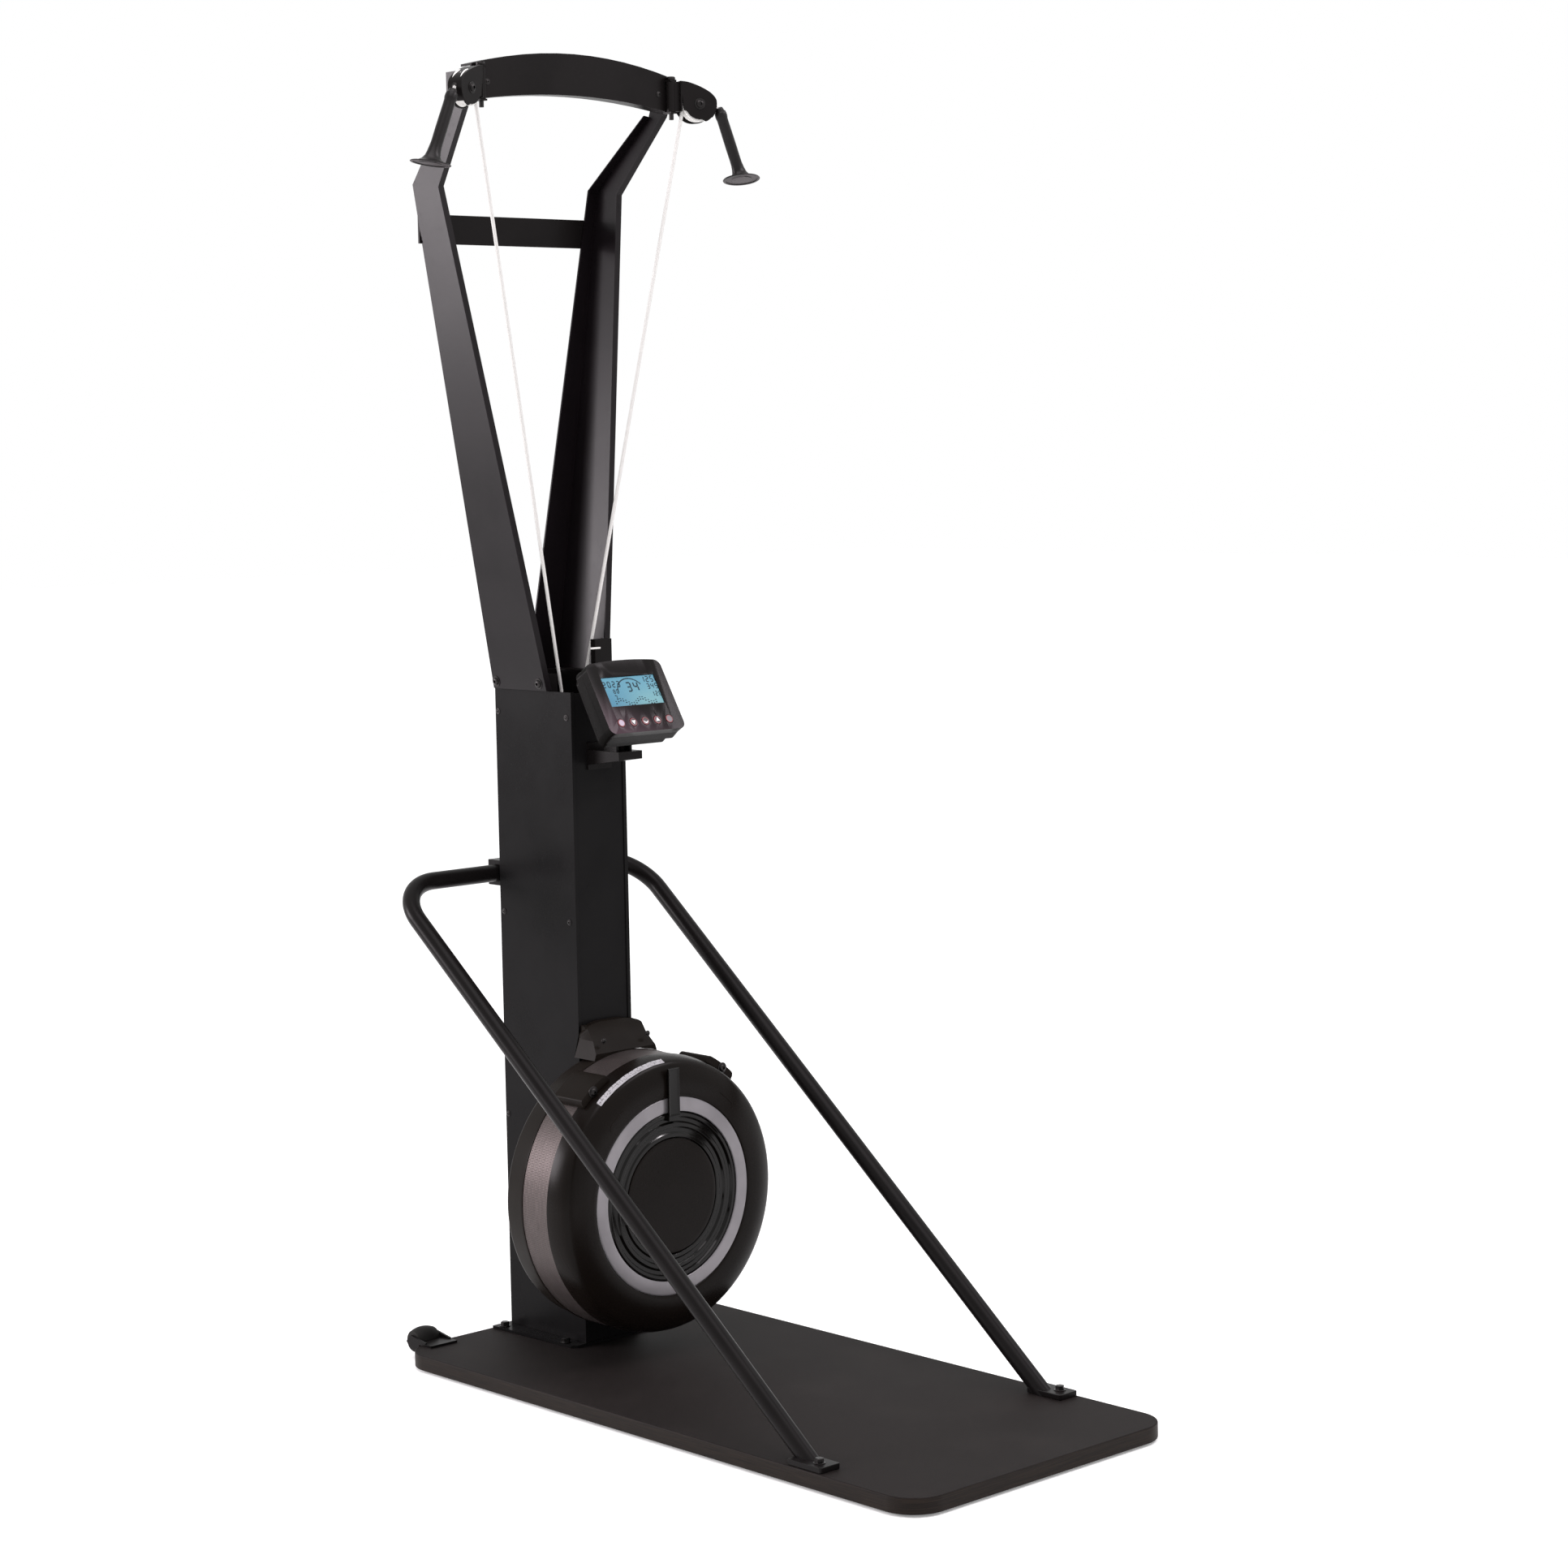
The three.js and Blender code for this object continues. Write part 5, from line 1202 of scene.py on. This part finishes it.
# %% Transport wheels
for side, sign in sides_of.items():
    refined(f"wheel_bracket_{side}", f"bracket_{side}", powder_black, 0.7)
    tread = [(5.3, -23), (15.5, -23), (17.5, -22.4), (18.6, -21)]
    tread += [(23 - 4.2 * (x / 20) ** 2, x) for x in range(-20, 21, 4)]
    tread += [(18.6, 21), (17.5, 22.4), (15.5, 23), (5.3, 23)]
    roller = turned(tread, Vector((sign * 223, 641.2, 31)) * MM, (1, 0, 0), 64, 0.25)
    settle(roller, f"roller_{side}", f"wheel_{side}", wheel_rubber)
    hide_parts(f"transport_wheel_{side}")
print("wheels made")

# %% [markdown]
# ## The fan
# A flywheel with vanes turns inside a round housing and draws air in through a perforated
# band. Everything round here is a profile spun about the same axis.

# %% Fan housing
fan_centre = Vector((0, 0, fan_height)) * MM
along_y = (0, 1, 0)
front_profile = [(237, 278), (237, 274), (236.2, 266), (234.6, 256), (232.5, 249), (230.6, 243.6),
                 (227.4, 239.4), (222, 236), (212.1, 232.5), (204, 230.3), (195, 228.9), (186, 228.7),
                 (178, 229), (172, 229.5), (169.6, 230.4), (168.8, 231.4), (168.8, 233.3),
                 (144.2, 233.3), (144.2, 242), (96, 242), (96, 246), (147.5, 246), (147.5, 236.3),
                 (172, 236.3), (195, 232), (209, 235.6), (224.5, 243), (230, 252), (234, 278)]
rear_profile = [(13.6, 393), (222, 393), (226.5, 392), (229.6, 389.4), (231, 385.5), (235.6, 352),
                (237, 346), (237, 342), (234, 342), (234, 348), (228, 384), (224, 390), (13.6, 390)]
band_profile = [(236, 278.3), (236, 341.7), (233.6, 341.7), (233.6, 278.3)]
ring_profile = [(144.5, 232.9), (144.5, 230.9), (145.3, 230.2), (147, 229.9), (156, 229.7),
                (166, 229.9), (167.7, 230.2), (168.5, 230.9), (168.5, 232.9)]
hub_profile = [(0, 233.4), (60, 233), (90, 232.4), (96.5, 232.4), (98.1, 233.4), (98.5, 235),
               (98.5, 241.7), (0, 241.7)]


def fan_part(profile, name, look, node, steps=160, closed=True):
    """A piece of the housing, turned about the fan's axis."""
    part = turned(profile, fan_centre, along_y, steps, closed=closed)
    settle(part, name, "frame", look, 40)
    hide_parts(node)


fan_part(front_profile, "fan_front", fan_plastic, "fan_front_cover")
fan_part(rear_profile, "fan_rear", shroud_plastic, "fan_rear_cover")
fan_part(band_profile, "fan_band", screen_metal, "fan_screen")
fan_part(ring_profile, "fan_ring_silver", silver_plastic, "fan_ring")
fan_part(hub_profile, "fan_hub", fan_plastic, "hub_disc", 128, False)
print("fan housing made")

# %% [markdown]
# The damper's dial has rings that step out and in, with hollows between them, and a flat
# lever that points up. It turns on its own joint, so it is a piece of its own.

# %% Dial with stepped rings and its lever
def block(low, high, edge=0.0, segments=2):
    """A box between two corners in mm, with its edges rounded."""
    low, high = Vector(low) * MM, Vector(high) * MM
    bpy.ops.object.select_all(action="DESELECT")
    bpy.ops.mesh.primitive_cube_add(size=1, location=(low + high) / 2, scale=high - low)
    piece = bpy.context.object
    bpy.ops.object.transform_apply(location=True, rotation=True, scale=True)
    return bevel(piece, edge * MM, segments) if edge else piece


steps_out = [(100, 241), (100, 234), (101, 233), (106.8, 233), (109.4, 235), (115.8, 235), (118, 232.4),
             (118.8, 232), (124.2, 232), (127.2, 235), (133.4, 235), (135.6, 231.4), (136.4, 231),
             (141, 231), (143.5, 233), (143.5, 241)]
dial = turned(steps_out, fan_centre, along_y, 160, 0.8, 3, angle=20)
lever = block((-12, 222, fan_height + 138), (12, 227, fan_height + 220))
edit(lever, lambda face: face.normal.y < -0.5)
bpy.ops.mesh.inset(thickness=4.2 * MM)
bpy.ops.transform.translate(value=(0, 2.6 * MM, 0))
leave_edit()
bevel(lever, 0.8 * MM, 3)
neck = block((-11, 224.5, fan_height + 130), (11, 235, fan_height + 141), 0.8)
settle(joined([dial, lever, neck]), "dial", "damper", gloss_plastic, 40)
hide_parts("damper_dial")
refined("damper_scale", "dial_scale", scale_print, 0.25)
print("dial:", len(dial.data.polygons), "faces")

# %% [markdown]
# Two lugs stand on the housing's shoulders, each with a bolt, and a fine raised line hooks
# round below each lug. All of them are drawn by a distance and an angle from the fan's
# middle, and the angles are counted from straight up.

# %% Lugs on the housing's shoulders
def polar(radius, degrees):
    """A point on the fan's face, from its centre, with the angle from straight up."""
    turn = math.radians(degrees)
    return radius * math.sin(turn), radius * math.cos(turn)


lug_turn, lug_front, lug_depth = 35.5, 262, 74
lug_shoulder = ((248.5, 7.4), (245, 8), (236, 8.5))
for side, sign in sides_of.items():
    outline = [polar(250, lug_turn + a) for a in (-6.6, -4.5, -2.2, 0, 2.2, 4.5, 6.6)]
    outline += [polar(r, lug_turn + a) for r, a in lug_shoulder]
    outline += [polar(236, lug_turn + a) for a in (5, 2, -2, -5)]
    outline += [polar(r, lug_turn - a) for r, a in lug_shoulder[::-1]]
    outline = [(sign * x, z) for x, z in outline]
    lug = plate(outline, fan_centre + Vector((0, lug_front * MM, 0)), (1, 0, 0), (0, 0, 1),
                -lug_depth, 1.5, 3)
    settle(lug, f"fan_lug_{side}", "frame", shroud_plastic)
    across, rise = polar(243, 36.5)
    bolt("socket", f"lug_bolt_{side}", (sign * across, lug_front, fan_height + rise), (0, -1, 0))
    hook = [polar(195, 34 + a) for a in range(0, 11)] + [polar(192, 45.6), polar(187, 46.2)]
    hook_line = [(sign * x * MM, 229.2 * MM, fan_centre.z + z * MM) for x, z in hook]
    mark = tube(f"hook_{side}", hook_line, 1 * MM, 10)
    settle(mark, f"hook_mark_{side}", "frame", shroud_plastic)
print("lugs made")

# %% [markdown]
# ## Inside the machine
# The flywheel, its axle and the two cord drums are out of sight. They are made all the same,
# because they carry the machine's motion: each drum turns with its handle's pull.

# %% Flywheel, axle, bearings and drums
refined("flywheel", "fly_wheel", wheel_steel, 0.6)
refined("flywheel_axle", "fly_axle", bright_steel, 0.6)
for end in ("front", "rear"):
    refined(f"bearing_{end}", f"bearing_{end}_ring", bright_steel, 0.5)
drum_profile = [(10.3, -8), (37, -8), (38, -7), (38, -6), *groove_line(28, 4.6, 5, 20), (38, 6),
                (38, 7), (37, 8), (10.3, 8)]
for side in sides_of:
    drum = turned(drum_profile, Vector((0, drum_y[side], drum_z)), along_y, 64, 0.2)
    settle(drum, f"drum_{side}_wheel", f"drum_{side}", white_nylon)
    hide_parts(f"cord_drum_{side}")
print("flywheel and drums made")

# %% [markdown]
# One elastic cord pulls both drums back. It rises from the first drum, goes over a peg high
# in the column and comes down to the second one.

# %% Elastic return cord
peg = Vector((0, 530, 1015)) * MM
elastic_reach = 18.3 * MM
over_peg = [peg + elastic_reach * Vector((math.cos(a), 0, math.sin(a)))
            for a in (math.pi * (1 - i / 20) for i in range(21))]
drum_side = -32 * MM
knee = drum_z + 76 * MM
legs = {side: (Vector((drum_side, drum_y[side], drum_z)), Vector((drum_side, drum_y[side], knee)))
        for side in sides_of}
low_leg = Vector((elastic_reach, peg.y, knee + 304 * MM))
route = spread(*legs["left"], 3) + spread(legs["left"][1], over_peg[0], 12) + over_peg
route += spread(over_peg[-1], low_leg, 6)[1:] + spread(low_leg, legs["right"][1], 6)
route += spread(legs["right"][1], legs["right"][0], 3) + [legs["right"][0]]
elastic = tube("elastic_return", route, 4 * MM)
elastic.data.materials.append(elastic_cord)
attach(elastic, "frame")
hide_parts("return_cord")
print("elastic cord:", len(route), "points")

# %% [markdown]
# ## Shroud
# A moulded shroud joins the fan to the column. Its two long top edges are much rounder than
# the rest, so those edges are picked first and rounded on their own.

# %% Shroud between column and fan
shroud = copy_of_solid("column_shroud", "shroud")
shroud_low, shroud_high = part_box("column_shroud")
bpy.ops.mesh.select_all(action="DESELECT")
bpy.ops.mesh.select_mode(type="EDGE")
sheet = bmesh.from_edit_mesh(shroud.data)
for edge in sheet.edges:
    a, b = edge.verts
    at_top = min(a.co.z, b.co.z) > shroud_high.z - 1 * MM
    at_side = abs(a.co.x - b.co.x) < 1 * MM and abs(a.co.x) > 40 * MM
    edge.select_set(at_top and at_side and abs(a.co.y - b.co.y) > 10 * MM)
bmesh.update_edit_mesh(shroud.data)
print("top edges found:", sum(edge.select for edge in sheet.edges))
bpy.ops.mesh.bevel(offset=40 * MM, segments=12, affect="EDGES")
leave_edit()
bevel(shroud, 2.2 * MM, 3, 25)
settle(shroud, "shroud", "frame", shroud_plastic)
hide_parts("column_shroud")
for side, sign in sides_of.items():
    bolt("small", f"shroud_screw_{side}", (sign * 49, shroud_low.y / MM, 566), (0, -1, 0))

# %% [markdown]
# ## Monitor
# The front's top edge is gently arched. The solid's edge is straight, so the front is cut
# across into strips first, and then the points near the top rise, the middle ones most.

# %% Monitor front
bezel = refined("monitor_front", "monitor_bezel", (monitor_dark, monitor_face), 1.6, 3)
face_height = (face_head - face_foot).length
bezel_half = 82.5 * MM
arch_rise, arch_from, arch_ease = 5 * MM, 0.88, 0.1
for x in range(-60, 61, 15):
    edit(bezel)
    bpy.ops.mesh.bisect(plane_co=(x * MM, 0, 0), plane_no=(1, 0, 0))
    leave_edit()
for vertex in bezel.data.vertices:
    share = (vertex.co - face_foot).dot(face_up) / face_height
    bow = 1 - (vertex.co.x / bezel_half) ** 2
    if share > arch_from:
        vertex.co += face_up * arch_rise * bow * min((share - arch_from) / arch_ease, 1)
for face in bezel.data.polygons:
    face.material_index = 1 if face.normal.dot(face_out) > 0.7 else 0
print("bezel:", len(bezel.data.polygons), "faces")

# %% [markdown]
# The rear housing hangs lower in its belly than at its rim. Points in its lower half sink
# with their depth behind the face.

# %% Monitor rear and its swivel
back = refined("monitor_rear", "monitor_back", monitor_dark, 1.6, 3)
belly_drop, belly_share = 14 * MM, 0.5
back_low, back_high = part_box("monitor_rear")
behind = [(face_foot - vertex.co).dot(face_out) for vertex in back.data.vertices]
for vertex, depth in zip(back.data.vertices, behind):
    share = (vertex.co.z - back_low.z) / (back_high.z - back_low.z)
    if share < belly_share:
        deep = (depth - min(behind)) / (max(behind) - min(behind))
        vertex.co.z -= belly_drop * (1 - share / belly_share) * deep
refined("monitor_arm", "monitor_stand", powder_black, 1.1)
print("monitor rear and swivel made")

# %% [markdown]
# The cord guide sits on the column behind the monitor, with a pale bar across its front.
# Then comes the display's panel.

# %% Cord guide and display panel
guide = refined("cord_guide", "guide_block", powder_black, 1.2)
for vertex in guide.data.vertices:
    if vertex.co.x > 66 * MM:
        vertex.co.x -= 5 * MM
refined("monitor_screen", "monitor_glass", lit_display, 0.4)
guide_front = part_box("cord_guide")[0].y / MM
lip = block((19, guide_front - 1.6, 1222.4), (41, guide_front + 1.5, 1225.6), 0.6)
settle(lip, "guide_lip", body_of("cord_guide"), white_nylon)
print("guide and display panel made")

# %% [markdown]
# ## Numbers on the display
# The display shows plain numbers. Each digit is made of up to seven bars, and every bar is a
# small flat face just above the glass. The bars are collected first and made as one piece.

# %% Bars of a digit
screen = frame["nodes"]["monitor_screen"]
screen_front = max((v.co - face_foot).dot(face_out) for v in screen.data.vertices)
ink_lift = screen_front + 0.12 * MM
bars_of = {0: "abcdef", 1: "bc", 2: "abged", 3: "abgcd", 4: "fgbc", 5: "afgcd", 6: "afgedc", 7: "abc",
           8: "abcdefg", 9: "abcdfg"}
# Each bar of a digit as shares of its width and height: where its middle is, and whether it lies flat
bar_spots = {"a": (0.5, 1, 1), "b": (1, 0.75, 0), "c": (1, 0.25, 0), "d": (0.5, 0, 1), "e": (0, 0.25, 0),
             "f": (0, 0.75, 0), "g": (0.5, 0.5, 1)}
ink_points, ink_faces = [], []


def on_face(across, rise):
    """A point on the monitor's face, in mm right of its middle and up the slope."""
    return face_foot + Vector((across * MM, 0, 0)) + face_up * rise * MM


def ink(middle, along, length, width):
    """A flat bar of display ink, in mm across and up the monitor's face."""
    a = Vector(along).normalized() * length / 2
    b = Vector((-a.y, a.x)).normalized() * width / 2
    start = len(ink_points)
    for p in (-a - b, a - b, a + b, -a + b):
        ink_points.append(on_face(*(Vector(middle) + p)) + face_out * ink_lift)
    ink_faces.append(range(start, start + 4))


def number(text, place, height, thick):
    """Plain digits in bars, from the place of the first digit's lower left corner."""
    wide = 0.5 * height
    for k, digit in enumerate(text):
        left = place[0] + k * (wide + 2.6 * thick)
        for bar in bars_of[int(digit)]:
            x, u, flat = bar_spots[bar]
            length = (wide if flat else height / 2) * 0.86
            ink((left + x * wide, place[1] + u * height), (1, 0) if flat else (0, 1), length, thick)

# %% [markdown]
# Below the numbers runs a waving double row of short dashes, and a curve of longer strokes
# bends over the number in the middle.

# %% Numbers, curve and dashes
number("2023", (-58, 87), 10, 2.0)
number("34", (-8, 77), 16, 2.8)
number("1250", (29, 92), 10, 1.8)
number("345", (36, 79), 9, 1.6)
number("120", (40, 65), 8, 1.5)
number("80", (-41, 75), 7, 1.4)
number("7", (-42, 63), 8, 1.6)
curve = [(-30, 77)] + [(-2 + 29 * math.cos(math.radians(a)), 76 + 25 * math.sin(math.radians(a)))
                       for a in range(170, 29, -10)]
for start, end in zip(curve, curve[1:]):
    step = Vector(end) - Vector(start)
    ink((Vector(start) + Vector(end)) / 2, step, step.length * 0.94, 2.2)
for k in range(17):
    x = -44 + 5.4 * k
    for row in range(2):
        ink((x, 56 + 5 * math.sin(0.75 * k) + 4.2 * row), (1, 0), 2.8, 2.2 - 0.7 * row)
ink_sheet = new_mesh("display_ink", ink_points, faces=ink_faces)
edit(ink_sheet)
bpy.ops.mesh.extrude_region_move(TRANSFORM_OT_translate={"value": -face_out * 0.1 * MM})
leave_edit()
settle(ink_sheet, "display_numbers", body_of("monitor_screen"), display_ink)
print("display bars:", len(ink_faces))

# %% [markdown]
# ## Buttons
# Five round buttons sit in a row under the display, each on its own joint. A cap has a red
# rim round a coloured middle, and three of them carry a small white shape.

# %% Buttons
button_pitch, button_rise = 26.5, 19
cap_profile = [(0, -7.8), (7.3, -7.8), (7.3, 0.5), (6.9, 1.05), (5.4, 1.2), (0, 1.2)]
cap_middles = {1: button_lilac, 2: button_dark, 3: button_dark, 4: button_dark, 5: button_grey}
signs = {2: [polar(4.6, a) for a in (60, -60, 180)], 4: [polar(4.6, a) for a in (0, 120, -120)],
         3: arc((0, 0), 4.6, 180, 360, 10) + arc((0, 1.8), 4.2, 340, 200, 8)}
for k, cap_middle in cap_middles.items():
    place = on_face(button_pitch * (k - 3), button_rise)
    cap = turned(cap_profile, place, face_out, 40, closed=False)
    settle(cap, f"button_{k}_cap", f"button_{k}", (button_red, cap_middle))
    for face in cap.data.polygons:
        away = face.center - place
        face.material_index = 1 if (away - face_out * away.dot(face_out)).length < 5.0 * MM else 0
    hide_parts(f"button_{k}")
    if k in signs:
        mark = plate(signs[k], place + face_out * 1.15 * MM, (1, 0, 0), face_up, 0.3)
        settle(mark, f"button_{k}_mark", f"button_{k}", button_white)
print("buttons made")

# %% [markdown]
# ## Light and floor
# The picture is a studio one: a white room, large soft lights, and hardly any shadow. The
# floor shines a little by itself, so it stays white under the machine.

# %% Floor and room
for pattern in bolts.values():
    bpy.data.objects.remove(pattern)
floor_paint = Paint("studio_floor", (0.92, 0.92, 0.92), 0.8, Specular_IOR_Level=0.0)
floor_paint.set("Emission Color", (1, 1, 1, 1))
floor_paint.set("Emission Strength", 0.22)
floor_paint.set("Roughness", 0.72 + floor_paint.noise(3) * 0.06)
bpy.ops.object.select_all(action="DESELECT")
bpy.ops.mesh.primitive_plane_add(size=60, location=(0, 0, -0.2 * MM))
floor = bpy.context.object
floor.name = "studio_floor"
floor.data.materials.append(floor_paint.material)
world = bpy.data.worlds.new("studio")
world.use_nodes = True
world.node_tree.nodes["Background"].inputs["Color"].default_value = (1, 1, 1, 1)
world.node_tree.nodes["Background"].inputs["Strength"].default_value = 1.0
bpy.context.scene.world = world
bpy.context.scene.view_settings.view_transform = "Standard"
print("floor and room made")

# %% [markdown]
# Three area lights: a window at the left rear draws the long light band inside the right
# arm, a thin strip gives the fan its narrow highlights, and a wide one fills from the top.

# %% Lights
def soft_light(name, place, target, size, power):
    """A rectangular light at a place, aimed at the target; size in m and power in W."""
    light = bpy.data.objects.new(name, bpy.data.lights.new(name, "AREA"))
    bpy.context.scene.collection.objects.link(light)
    light.data.shape = "RECTANGLE"
    light.data.size, light.data.size_y = size
    light.data.energy = power
    light.data.color = (1.0, 0.93, 0.97)
    light.location = place
    light.rotation_mode = "QUATERNION"
    light.rotation_quaternion = (Vector(target) - Vector(place)).to_track_quat("-Z", "Y")


soft_light("left window", (-3.45, 3.55, 1.85), (0, 0.45, 1.75), (2.2, 1.5), 185)
soft_light("strip lamp", (1.9, -2.1, 3.6), (0, 0.2, 0.4), (2.4, 0.1), 60)
soft_light("top", (-0.6, -0.6, 4.2), (0, 0, 0), (2.4, 2.4), 60)
print("lights made")
